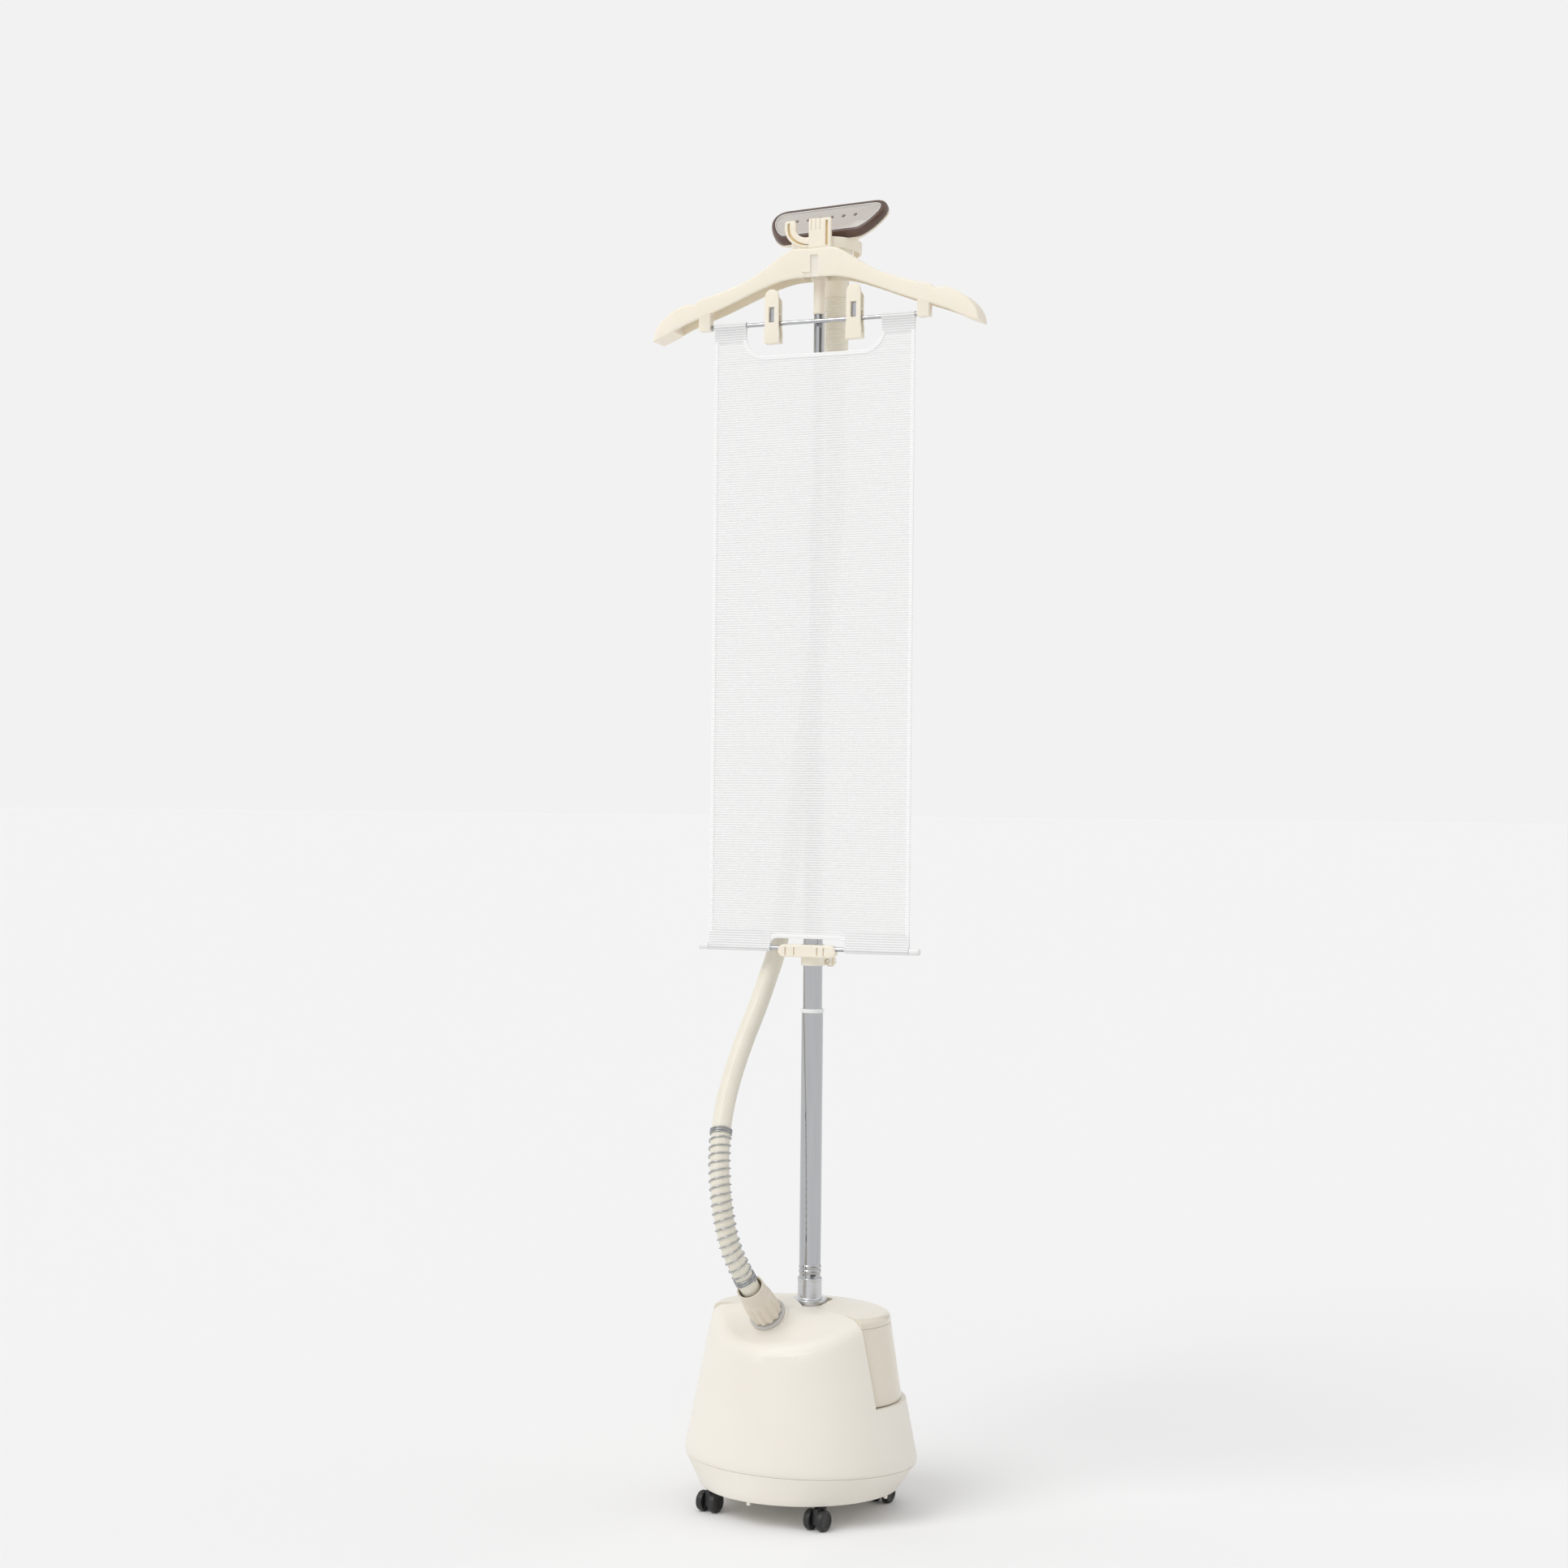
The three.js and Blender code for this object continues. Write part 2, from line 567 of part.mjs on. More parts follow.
// A cap on a tube's mouth that guides the next tube.
function tubeCollar(i) {
  const outer = TUBE_R[i] + COLLAR_WALL;
  const top = TUBE_TOP[i] + 2.6;
  return turned([
    [TUBE_R[i + 1] + GAP, TUBE_TOP[i] + GAP], [TUBE_R[i] + GAP, TUBE_TOP[i] + GAP],
      [TUBE_R[i] + GAP, top - COLLAR_HEIGHT],
    [outer, top - COLLAR_HEIGHT], [outer, top], [TUBE_R[i + 1] + GAP, top],
  ]);
}

// A bush on the foot of a thin tube, where the tube around it is much wider.
function glideBush(i) {
  const outer = TUBE_R[i - 1] - TUBE_WALL - GAP;
  const low = tubeLow(i) - 3;
  return turned([
    [TUBE_R[i] - TUBE_WALL - 1, low], [outer, low], [outer, low + 16], [TUBE_R[i] + GAP, low + 16],
    [TUBE_R[i] + GAP, low + 3 - GAP], [TUBE_R[i] - TUBE_WALL - 1, low + 3 - GAP],
  ]);
}

// ---------------------------------------------------------------- clamp, bars and cloth
const acrossBar = (r, x0, x1, z, steps = 10) => aimed(rod(r, x0, x1, steps),
  new THREE.Vector3(0, CLOTH_Y, z), X_AXIS);

function boardClamp() {
  const end = (CLAMP_TOP - CLAMP_LOW) / 2;
  const face = new THREE.Shape();
  const mid = (CLAMP_TOP + CLAMP_LOW) / 2;
  face.absarc(CLAMP_HALF - end, mid, end, -Math.PI / 2, Math.PI / 2);
  face.absarc(end - CLAMP_HALF, mid, end, Math.PI / 2, Math.PI * 1.5);
  const front = panel(face, CLOTH_Y - 6, CLOTH_Y + 7);
  const slots = [-1, 1].flatMap((side) => [15, 27].map((x) =>
    block([side * x - 1, side * x + 1], [CLOTH_Y - 7, CLOTH_Y - 4.4], [CLAMP_LOW + 2, CLAMP_TOP - 3])));
  const hub = rod(TUBE_R[1] + 3, CLAMP_RING_LOW, CLAMP_TOP, 20);
  const bridge = block([-13, 13], [CLOTH_Y + 6, -6], [CLAMP_LOW, CLAMP_TOP]);
  const ear = block([6, 22], [4, 12], [CLAMP_RING_LOW, CLAMP_TOP - 6]);
  return cut(
    join(front, bridge, hub, ear), ...slots,
    rod(TUBE_R[1] + GAP, 0, 900, 20),
    acrossBar(BAR_LOW_R + GAP, -60, 60, BAR_LOW),
    aimed(rod(2.9, 0, 40, 16), knobAt, knobAxis),
  );
}

const knobAxis = new THREE.Vector3(0, 1, 0);
const knobAt = new THREE.Vector3(18.4, -10, CLAMP_RING_LOW + 5.4);

// The clamp's thumbscrew: a pin through the ear and a lobed head.
function clampKnob() {
  const head = turned([[0, 12 + 10 + GAP], [7.5, 12 + 10 + GAP], [7.5, 29], [6.5, 30], [0, 30]], 20);
  const pin = rod(2.4, 13.5, 24, 16);
  return join(aimed(head, knobAt, knobAxis), aimed(pin, knobAt, knobAxis));
}

function barCap(side) {
  const inner = CLOTH_HALF + GAP;
  const outer = CLOTH_HALF + 14;
  const cap = turned([[0, outer], [3.2, outer], [4.5, outer - 1.5], [4.5, inner], [BAR_LOW_R + 0.3, inner],
    [BAR_LOW_R + 0.3, outer - 3], [0, outer - 3]], 16);
  return aimed(cap, new THREE.Vector3(0, CLOTH_Y, BAR_LOW), along(side));
}

function hangingCloth() {
  const round = 24;
  const shape = new THREE.Shape();
  shape.moveTo(-CLOTH_HALF, BAR_LOW);
  shape.lineTo(-NOTCH_HALF, BAR_LOW);
  shape.lineTo(-NOTCH_HALF, NOTCH_TOP);
  shape.lineTo(NOTCH_HALF, NOTCH_TOP);
  shape.lineTo(NOTCH_HALF, BAR_LOW);
  shape.lineTo(CLOTH_HALF, BAR_LOW);
  shape.lineTo(CLOTH_HALF, BAR_HIGH);
  shape.lineTo(TAB_INNER, BAR_HIGH);
  shape.absarc(TAB_INNER - round, CUT_LOW + round, round, 0, -Math.PI / 2, true);
  shape.absarc(round - TAB_INNER, CUT_LOW + round, round, -Math.PI / 2, -Math.PI, true);
  shape.lineTo(-TAB_INNER, BAR_HIGH);
  shape.lineTo(-CLOTH_HALF, BAR_HIGH);
  const sheet = panel(shape, CLOTH_Y - CLOTH_THICK / 2, CLOTH_Y + CLOTH_THICK / 2);
  const hems = [[-CLOTH_HALF, -NOTCH_HALF, BAR_LOW], [NOTCH_HALF, CLOTH_HALF, BAR_LOW],
    [-CLOTH_HALF, -TAB_INNER, BAR_HIGH],
    [TAB_INNER, CLOTH_HALF, BAR_HIGH]].map(([x0, x1, z]) => acrossBar(HEM_R, x0, x1, z, 10));
  return cut(
    join(sheet, ...hems),
    acrossBar(BAR_LOW_R + GAP, -200, 200, BAR_LOW),
    acrossBar(BAR_HIGH_R + GAP, -200, 200, BAR_HIGH),
  );
}

// ---------------------------------------------------------------- hanger
// Half outlines from the middle to the tip: [across, height].
const HANGER_UPPER = [
  [30, HANGER_TOP], [62, 1602], [113, 1577.5], [159, 1564.8], [167, 1559.6], [176, 1560.2], [190, 1556],
    [205, 1548.6],
  [217, 1539.5], [224.5, 1527], [HANGER_TIP, 1512.5],
];
const HANGER_LOWER = [[162, 1540], [143, 1546], [118, 1555], [83, 1568.5], [54, 1578.7], [20, HANGER_ARCH]];

function hangerOutline(inset, drop) {
  const upper = HANGER_UPPER.map(([x, z]) => [x - (x > 160 ? inset : 0), z - inset]);
  const lower = HANGER_LOWER.map(([x, z]) => [x, z - drop]);
  const tip = drop ? [[HANGER_TIP - inset, 1512.5 - drop]] : [];
  const half = [...upper, ...tip, ...lower];
  return outline(mirrored(half));
}

function hanger() {
  const [front, rear] = HANGER_Y;
  const skin = panel(hangerOutline(0, 0), front, rear);
  const inside = panel(hangerOutline(WALL, 30), front + WALL, rear - WALL);
  const boss = block([-13, 13], [-12, 4], [HANGER_ARCH + 1, HANGER_TOP - 1]);
  const hooks = [-1, 1].map((side) => block(
    [side * HOOK_AT[side > 0 ? 0 : 1], side * HOOK_AT[side > 0 ? 1 : 0]], [front, CLOTH_Y + 5],
      [HOOK_LOW, 1556]));
  return cut(
    join(cut(skin, inside), boss, ...hooks),
    rod(TUBE_R[3] + 0.9, 1500, HANGER_TOP - 5),
    acrossBar(BAR_HIGH_R + GAP, -HOOK_AT[1] + 3, HOOK_AT[1] - 3, BAR_HIGH),
  );
}

function hangerStem() {
  const bore = TUBE_R[3] - TUBE_WALL - GAP;
  const foot = TUBE_TOP[3] + GAP;
  return turned([[0, foot - 36], [bore, foot - 36], [bore, foot], [7.4, foot], [7.4, HANGER_TOP - 5.6],
    [0, HANGER_TOP - 5.6]]);
}

// The cradle: a C-shaped ring that the head rests in, a ribbed block in front and a hook on its left.
function handsetCradle() {
  const low = HANGER_TOP + GAP;
  const front = CRADLE_Y - CRADLE_R;
  const round = (shape) => shape.translate(0, CRADLE_Y, 0);
  const mouth = block([-23, 23], [CRADLE_Y + 20, CRADLE_Y + 60], [1600, 1700]);
  const foot = block([-24, 24], [front + 1, 3], [low, 1626]);
  const upstand = block([-7, 24], [front - 0.6, front + 5], [low, 1660]);
  const groove = block([16.5, 21], [front - 3, front + 3], [low + 4, 1657]);
  const arm = outline([[-6, 1623], [-12, 1623], [-29, 1629], [-38, 1639], [-40.4, 1650], [-40.4, 1656.5],
    [-38, 1658.5],
    [-27, 1658.5], [-25, 1656], [-25, 1645], [-21, 1639.5], [-6, 1635]]);
  const hook = panel(arm, front - 0.6, front + 5);
  return cut(
    join(round(ring(CRADLE_R, CRADLE_R - 3, 1622.4, 1636.6, 32)), foot, upstand, hook),
    mouth, groove, round(rod(CRADLE_R - 3, 1600, 1700, 32)),
  );
}

// ---------------------------------------------------------------- trouser clips
const clipX = (side, x0, x1) => [side * CLIP_AT + x0, side * CLIP_AT + x1];

function clipLeverOutline(side, top) {
  const [x0, x1] = clipX(side, -CLIP_HALF, CLIP_HALF);
  const shape = new THREE.Shape();
  shape.moveTo(x0 - 1, CLIP_LOW);
  shape.lineTo(x1 + 1, CLIP_LOW);
  shape.lineTo(x1, top - CLIP_HALF);
  shape.absarc(side * CLIP_AT, top - CLIP_HALF, CLIP_HALF, 0, Math.PI);
  return shape;
}

function clipFront(side) {
  const lever = panel(clipLeverOutline(side, CLIP_TOP), CLOTH_Y - 6.5, CLOTH_Y - 3.5);
  const jaw = block(clipX(side, -CLIP_HALF, CLIP_HALF), [CLOTH_Y - 4, CLOTH_Y - 0.3], [CLIP_LOW, CLIP_LOW + 8]);
  const ribs = [-1, 1].map((i) => block(clipX(side, i * 7 - 2, i * 7 + 2), [CLOTH_Y - 4, CLOTH_Y - 1],
    [CLIP_PIVOT - 1.5, CLIP_PIVOT + 1.5]));
  return cut(join(lever, jaw, ...ribs), block(clipX(side, -3.6, 3.6), [CLOTH_Y - 10, CLOTH_Y - 3],
    [1529, 1549]));
}

function clipBack(side) {
  const lever = panel(clipLeverOutline(side, CLIP_TOP - 7), CLOTH_Y + 3.5, CLOTH_Y + 6.5);
  const jaw = block(clipX(side, -CLIP_HALF, CLIP_HALF), [CLOTH_Y + 0.3, CLOTH_Y + 4], [CLIP_LOW, CLIP_LOW + 8]);
  const ribs = [-1, 1].map((i) => block(clipX(side, i * 7 - 2, i * 7 + 2), [CLOTH_Y, CLOTH_Y + 4],
    [CLIP_PIVOT - 1.5, CLIP_PIVOT + 1.5]));
  return join(lever, jaw, ...ribs);
}

// A leaf bent over like a narrow U behind the front lever.
function clipSpring(side) {
  const leaf = outline([
    [-3.1, 1532], [-3.1, 1547], [-2.4, 1549.2], [-1.2, 1549.2], [-0.5, 1547], [-0.5, 1543],
    [-1, 1543], [-1, 1546.8], [-1.5, 1548.6], [-2.1, 1548.6], [-2.6, 1546.8], [-2.6, 1532],
  ]);
  const strip = upright(leaf, -3.2, 3.2).rotateX(Math.PI / 2).rotateZ(Math.PI / 2);
  return strip.translate(side * CLIP_AT, CLOTH_Y, 0);
}

// ---------------------------------------------------------------- handset

// From the plate's own plane, with its outward normal as local +Z, to the mast.
function onPlate(geometry) {
  return geometry.rotateX(Math.PI / 2 - PLATE_TILT).translate(0, ...PLATE_AT);
}

// The head's rounded outline seen square on, grown by `grow`.
function headOutline(grow = 0, round = 20) {
  const top = 30 + grow;
  const low = -30 - grow;
  const wide = 86 + grow;
  const shape = new THREE.Shape();
  shape.moveTo(-54, low);
  shape.lineTo(54, low);
  shape.bezierCurveTo(68 + grow, low, wide - 4, -8, wide, 8);
  shape.bezierCurveTo(wide + 1, 20, wide - 4, top, wide - round, top);
  shape.lineTo(round - wide, top);
  shape.bezierCurveTo(4 - wide, top, -wide - 1, 20, -wide, 8);
  shape.bezierCurveTo(4 - wide, -8, -68 - grow, low, -54, low);
  return shape;
}

const RIM = 7; // width of the brown rim around the plate
const RIM_DEPTH = 9;

function steamPlate() {
  const holes = 6;
  const pitch = 17.7;
  const plate = upright(headOutline(-RIM - GAP, 22), -3, 0.8, 6);
  const jets = [];
  for (let i = 0; i < holes; i++) jets.push(rod(2.4, -10, 10, 10).translate((i - (holes - 1) / 2) * pitch, 4,
    0));
  return cut(onPlate(plate), ...jets.map(onPlate));
}

function headRim() {
  const outer = upright(headOutline(0), -RIM_DEPTH, 1.6, 6);
  const inner = upright(headOutline(-RIM, 22), -RIM_DEPTH - 1, 3, 6);
  return cut(onPlate(outer), onPlate(inner));
}

// The smallest convex solid around some solids.
const around = (...shapes) => wasm.Manifold.hull(shapes.map(asSolid));
const slab = (half, y, z) => ovalTurned([[0, 0, z], [...half, z], [...half, z + 0.4], [0, 0, z + 0.4]],
  24).translate(0, y, 0);

// The shell narrows from the rim's outline back to a flat neck, and the neck runs down into the handle.
function headShell() {
  const foot = HANDLE_TOP + GAP;
  const back = -RIM_DEPTH - GAP;
  const form = (wall) => {
    const mouth = onPlate(upright(headOutline(-1 - wall), back - 0.4 + (wall ? 0.1 : 0), back, 5));
    const neck = NECK.map((half) => half - wall);
    const root = [HANDLE_TOP_R - wall, HANDLE_TOP_R - wall];
    const lift = wall ? 2 : 0;
    return join(
      around(mouth, slab(neck, NECK_Y, NECK_TOP + lift)),
      around(slab(neck, NECK_Y, NECK_TOP + lift), slab(root, HANDLE_Y, foot)),
    );
  };
  const opening = onPlate(upright(headOutline(-1 - WALL), back - 1, back + 1, 5));
  return cut(form(0), form(WALL), opening, rod(HANDLE_TOP_R - WALL, foot - 2, foot + 6).translate(0,
    HANDLE_Y, 0));
}

function handle() {
  const low = BOOT_TOP + GAP;
  return turned([
    [HOSE_BORE, low], [BOOT_R, low], [BOOT_R + 0.6, low + 6], [HANDLE_TOP_R, HANDLE_TOP],
      [HANDLE_TOP_R - WALL, HANDLE_TOP],
    [HOSE_BORE + 0.8, low + 9], [HOSE_BORE, low + 4],
  ]).translate(0, HANDLE_Y, 0);
}

// The ribbed strain relief that the hose runs up into.
function handleBoot() {
  const collar = BOOT_TOP - 24;
  const ribs = 6;
  const pitch = (collar - BOOT_LOW) / ribs;
  const profile = [[HOSE_BORE, BOOT_LOW]];
  for (let i = 0; i < ribs; i++) {
    const z = BOOT_LOW + i * pitch;
    profile.push([BOOT_R - 0.3, z], [BOOT_R - 0.3, z + pitch * 0.6], [BOOT_R - 1.4, z + pitch * 0.6],
      [BOOT_R - 1.4, z + pitch]);
  }
  profile.push([BOOT_R, collar], [BOOT_R, BOOT_TOP], [HOSE_BORE, BOOT_TOP]);
  return turned(profile, 16).translate(0, HANDLE_Y, 0);
}

// ---------------------------------------------------------------- assembly
const base = new THREE.Group();
base.add(
  piece("base_tray", baseTray(), IVORY),
  piece("body_shell", bodyShell(), IVORY),
  piece("water_tank", waterTank(), FROSTED),
  piece("tank_cover", tankCover(), FROSTED),
  piece("tank_valve_cap", valveCap().translate(...VALVE_AT, 0), CREAM),
  piece("valve_plunger", valvePlunger().translate(...VALVE_AT, 0), CREAM),
  piece("tank_seat", tankSeat().translate(...VALVE_AT, 0), RUBBER),
  piece("boiler_body", boilerBody(), ALUMINIUM),
  piece("boiler_lid", boilerLid(), ALUMINIUM),
  piece("heater_coil", heaterCoil(), STEEL),
  piece("steam_riser", steamRiser(), COPPER),
  piece("feed_pipe", feedPipe(), RUBBER),
  piece("thermostat", thermostat(), BLACK),
  piece("switch_module", switchModule(), BLACK),
  piece("power_button", powerButton(), GREY),
  piece("cord_inlet", cordInlet(), BLACK),
  piece("steam_outlet", steamOutlet(), GREY),
  piece("hose_nut", hoseNut(), IVORY),
  piece("steam_hose", steamHose(), HOSE),
  piece("hose_spring_guard", springGuard(), CHROME),
);

const CASTER_NAMES = ["front_left", "front_right", "rear_left", "rear_right"];
casterPlaces().forEach(([x, y], i) => {
  const caster = new THREE.Group();
  caster.position.set(x, y, 0);
  caster.add(piece(`caster_hood_${CASTER_NAMES[i]}`, casterHood(), BLACK));
  const wheels = piece(`caster_wheels_${CASTER_NAMES[i]}`, casterWheels(), BLACK);
  wheels.position.set(0, -CASTER_TRAIL, WHEEL_R);
  wheels.rotation.y = Math.PI / 2;
  caster.add(wheels);
  base.add(caster);
});

const mast = new THREE.Group();
mast.position.y = POLE_BACK;
mast.rotation.z = MAST_TURN;
mast.add(
  piece("pole_socket", poleSocket(), ALUMINIUM),
  ...TUBE_R.map((_, i) => piece(`pole_tube_${i + 1}`, poleTube(i), CHROME)),
  ...[0, 1, 2].map((i) => piece(`tube_collar_${i + 1}`, tubeCollar(i), CREAM)),
  ...[2, 3].map((i) => piece(`glide_bush_${i + 1}`, glideBush(i), RUBBER)),
  piece("board_clamp", boardClamp(), CREAM),
  piece("clamp_knob", clampKnob(), CREAM),
  piece("bottom_bar", acrossBar(BAR_LOW_R, -CLOTH_HALF - 10, CLOTH_HALF + 10, BAR_LOW), CHROME),
  piece("bottom_bar_cap_left", barCap(-1), GREY),
  piece("bottom_bar_cap_right", barCap(1), GREY),
  piece("pressing_cloth", hangingCloth(), CLOTH),
  piece("top_bar", acrossBar(BAR_HIGH_R, -HOOK_AT[1] + 3.6, HOOK_AT[1] - 3.6, BAR_HIGH), CHROME),
  piece("hanger", hanger(), CREAM),
  piece("hanger_stem", hangerStem(), CREAM),
  piece("handset_cradle", handsetCradle(), CREAM),
);
for (const [word, side] of [["left", -1], ["right", 1]]) {
  mast.add(
    piece(`clip_front_${word}`, clipFront(side), CREAM),
    piece(`clip_back_${word}`, clipBack(side), CREAM),
    piece(`clip_spring_${word}`, clipSpring(side), STEEL),
  );
}

const handset = new THREE.Group();
handset.position.x = HANDSET_X;
handset.add(
  piece("steam_plate", steamPlate(), ALUMINIUM),
  piece("head_rim", headRim(), BROWN),
  piece("head_shell", headShell(), CREAM),
  piece("handle", handle(), CREAM),
  piece("handle_boot", handleBoot(), CREAM),
);

const group = new THREE.Group();
group.add(base, mast, handset);

export default group;
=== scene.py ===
"""A floor-standing garment steamer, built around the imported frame. Lengths in the shape code are millimetres."""
import math

import bmesh
import bpy
from mathutils import Matrix, Vector


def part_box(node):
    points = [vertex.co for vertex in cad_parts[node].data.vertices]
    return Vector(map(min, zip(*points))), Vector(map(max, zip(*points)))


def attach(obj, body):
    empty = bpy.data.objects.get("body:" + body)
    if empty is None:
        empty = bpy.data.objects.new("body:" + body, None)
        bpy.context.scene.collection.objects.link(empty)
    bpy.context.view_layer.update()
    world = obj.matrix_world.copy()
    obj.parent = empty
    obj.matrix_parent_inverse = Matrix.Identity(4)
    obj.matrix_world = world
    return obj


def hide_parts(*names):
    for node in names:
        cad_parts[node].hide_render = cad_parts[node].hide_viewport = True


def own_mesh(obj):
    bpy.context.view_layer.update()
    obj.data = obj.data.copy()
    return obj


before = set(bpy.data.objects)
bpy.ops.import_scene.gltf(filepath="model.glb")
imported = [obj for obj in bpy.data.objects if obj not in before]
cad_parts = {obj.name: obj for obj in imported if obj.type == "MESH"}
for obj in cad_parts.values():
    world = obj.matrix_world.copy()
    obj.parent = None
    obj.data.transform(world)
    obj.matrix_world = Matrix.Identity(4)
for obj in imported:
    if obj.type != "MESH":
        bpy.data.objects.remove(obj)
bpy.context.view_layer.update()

MM = 0.001
FULL = 2 * math.pi


# ---- places
def low_of(node):
    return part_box(node)[0][2] / MM


def high_of(node):
    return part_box(node)[1][2] / MM


def half_size(node):
    """A node's half width and half depth."""
    low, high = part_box(node)
    return (high[0] - low[0]) / 2 / MM, (high[1] - low[1]) / 2 / MM


def shift(x, y, z):
    return Matrix.Translation(Vector((x, y, z)) * MM)


def turn(degrees, axis):
    return Matrix.Rotation(math.radians(degrees), 4, axis)


POLE_BACK = 20
MAST_TURN = 8.5
MAST = shift(0, POLE_BACK, 0) @ turn(MAST_TURN, "Z")
NOZZLE = shift(-22, -50, 253.5) @ turn(46.5, "X")
HANDSET = shift(-5.5, 0, 0)
PLATE = HANDSET @ shift(0, 42, 1667) @ turn(52, "X")
HANDLE = HANDSET @ shift(0, 74.4, 0)
HERE = Matrix.Identity(4)


# ---- finishes
def rgb(code):
    """An sRGB hex colour as linear values."""
    parts = [int(code[i : i + 2], 16) / 255 for i in (1, 3, 5)]
    return [p / 12.92 if p <= 0.04045 else ((p + 0.055) / 1.055) ** 2.4 for p in parts] + [1]


def add(tree, kind, inputs=None, **settings):
    """Adds a node, sets what it has, and links or sets its inputs by name."""
    node = tree.nodes.new(kind)
    for name, value in settings.items():
        setattr(node, name, value)
    for name, value in (inputs or {}).items():
        socket = node.inputs[name]
        if isinstance(value, bpy.types.NodeSocket):
            tree.links.new(value, socket)
        else:
            socket.default_value = value
    return node


def start(name, **values):
    """A new material with its shader, and the object coordinates that its pattern follows."""
    material = bpy.data.materials.new(name)
    material.use_nodes = True
    tree = material.node_tree
    shader = tree.nodes["Principled BSDF"]
    for key, value in values.items():
        shader.inputs[key.replace("_", " ")].default_value = value
    place = add(tree, "ShaderNodeTexCoord").outputs["Object"]
    return material, tree, shader, place


def mottled(tree, place, low, high, size, stretch=(1, 1, 1), detail=3.0):
    """Noise with features `size` millimetres across, as a colour between two others."""
    mapped = add(tree, "ShaderNodeMapping", {"Vector": place, "Scale": stretch})
    noise = add(tree, "ShaderNodeTexNoise", {"Vector": mapped.outputs[0], "Scale": 1 / (size * MM), "Detail": detail})
    mix = add(tree, "ShaderNodeMix", {"Factor": noise.outputs["Fac"]}, data_type="RGBA")
    mix.inputs["A"].default_value = low
    mix.inputs["B"].default_value = high
    return mix.outputs["Result"], noise.outputs["Fac"]


def link_bump(tree, shader, height, strength, depth):
    bump = add(tree, "ShaderNodeBump", {"Height": height, "Strength": strength, "Distance": depth * MM})
    tree.links.new(bump.outputs["Normal"], shader.inputs["Normal"])


def link_range(tree, value, socket, low, high):
    """Carries a 0 to 1 value into a socket as low to high."""
    ranged = add(tree, "ShaderNodeMapRange", {"Value": value, "To Min": low, "To Max": high})
    tree.links.new(ranged.outputs["Result"], socket)


def tinted(tree, shader, place, code, dark, size, stretch=(1, 1, 1)):
    """Gives the shader a slow flow of tone between two colours."""
    colour, _ = mottled(tree, place, rgb(code), rgb(dark), size, stretch, 2.0)
    tree.links.new(colour, shader.inputs["Base Color"])


def grained(tree, shader, place, size, roughness, strength, depth):
    """Gives the shader a fine grain, in its gloss and its surface."""
    _, fine = mottled(tree, place, rgb("#ffffff"), rgb("#000000"), size)
    link_range(tree, fine, shader.inputs["Roughness"], *roughness)
    link_bump(tree, shader, fine, strength, depth)


def moulded(name, code, dark, roughness=0.42, coat=0.12, **values):
    """Injection-moulded plastic: a faint flow of tone, and a fine spark-eroded grain that breaks the gloss."""
    material, tree, shader, place = start(name, IOR=1.5, Coat_Weight=coat, Coat_Roughness=0.25, **values)
    tinted(tree, shader, place, code, dark, 90)
    grained(tree, shader, place, 0.9, (roughness - 0.05, roughness + 0.08), 0.12, 0.05)
    return material


def bright_metal(name, code, roughness, size, stretch, spread=0.05):
    """Plated or drawn metal: the streaks of the last polish run one way in its gloss, and its colour carries painted
    reflection streaks, lighter towards white, that run the same way.
    """
    material, tree, shader, place = start(name, Metallic=1.0)
    # painted reflection: noise streaks from the metal's own colour towards white
    colour, streak = mottled(tree, place, rgb(code), rgb("#ffffff"), size, stretch)
    # keeps four fifths of the plain colour, so the painted reflection streaks stay mild
    mild_painted_reflection = add(tree, "ShaderNodeMix", {"Factor": 0.8}, data_type="RGBA")
    tree.links.new(colour, mild_painted_reflection.inputs["A"])
    mild_painted_reflection.inputs["B"].default_value = rgb(code)
    tree.links.new(mild_painted_reflection.outputs["Result"], shader.inputs["Base Color"])
    link_range(tree, streak, shader.inputs["Roughness"], roughness, roughness + spread)
    return material


# Warm ivory ABS with a fine satin grain.
ivory = moulded("satin ivory moulded ABS", "#eee9df", "#e9e3d8")
# The same ivory plastic on the hose side, its colour painted a little darker and yellower as shade.
shaded_ivory_nut = moulded("ivory moulded nut with painted shade", "#e3dacb", "#dcd2c2", 0.45)
# Thin cream polypropylene of the hanger and clips, warmer where light passes through.
cream = moulded("cream moulded polypropylene", "#f6eee0", "#f1e7d4", 0.46,
                Subsurface_Weight=0.25, Subsurface_Radius=(1.0, 0.72, 0.38), Subsurface_Scale=0.006)
# Inside faces of the same mouldings, painted a warmer, darker yellow as shade inside their recesses.
painted_warm_shade = moulded("inner moulding with painted warm shade", "#f1dcae", "#ecd29a", 0.5)
grey = moulded("light grey moulded seal", "#c9c7c4", "#bfbdb9", 0.5)
white = moulded("white moulded acetal", "#f0f0ef", "#e7e7e6", 0.4)
brown = moulded("satin brown moulded rim", "#5d4439", "#523a30", 0.32, coat=0.3)
black = moulded("black moulded nylon", "#262626", "#1b1b1b", 0.46)
rubber = moulded("grey moulded rubber", "#8b8a88", "#7d7c79", 0.75, coat=0.0)
sand_plate = moulded("enamelled sand grey plate", "#c5beb8", "#beb7b0", 0.35, coat=0.3)
# Bright chromium plate over drawn steel tube. Its base colour is darker than chromium's own: painted shade for the
# darker surroundings that it would reflect.
chrome = bright_metal("chromium plated tube", "#b0b1b4", 0.05, 3.0, (1, 1, 0.03))
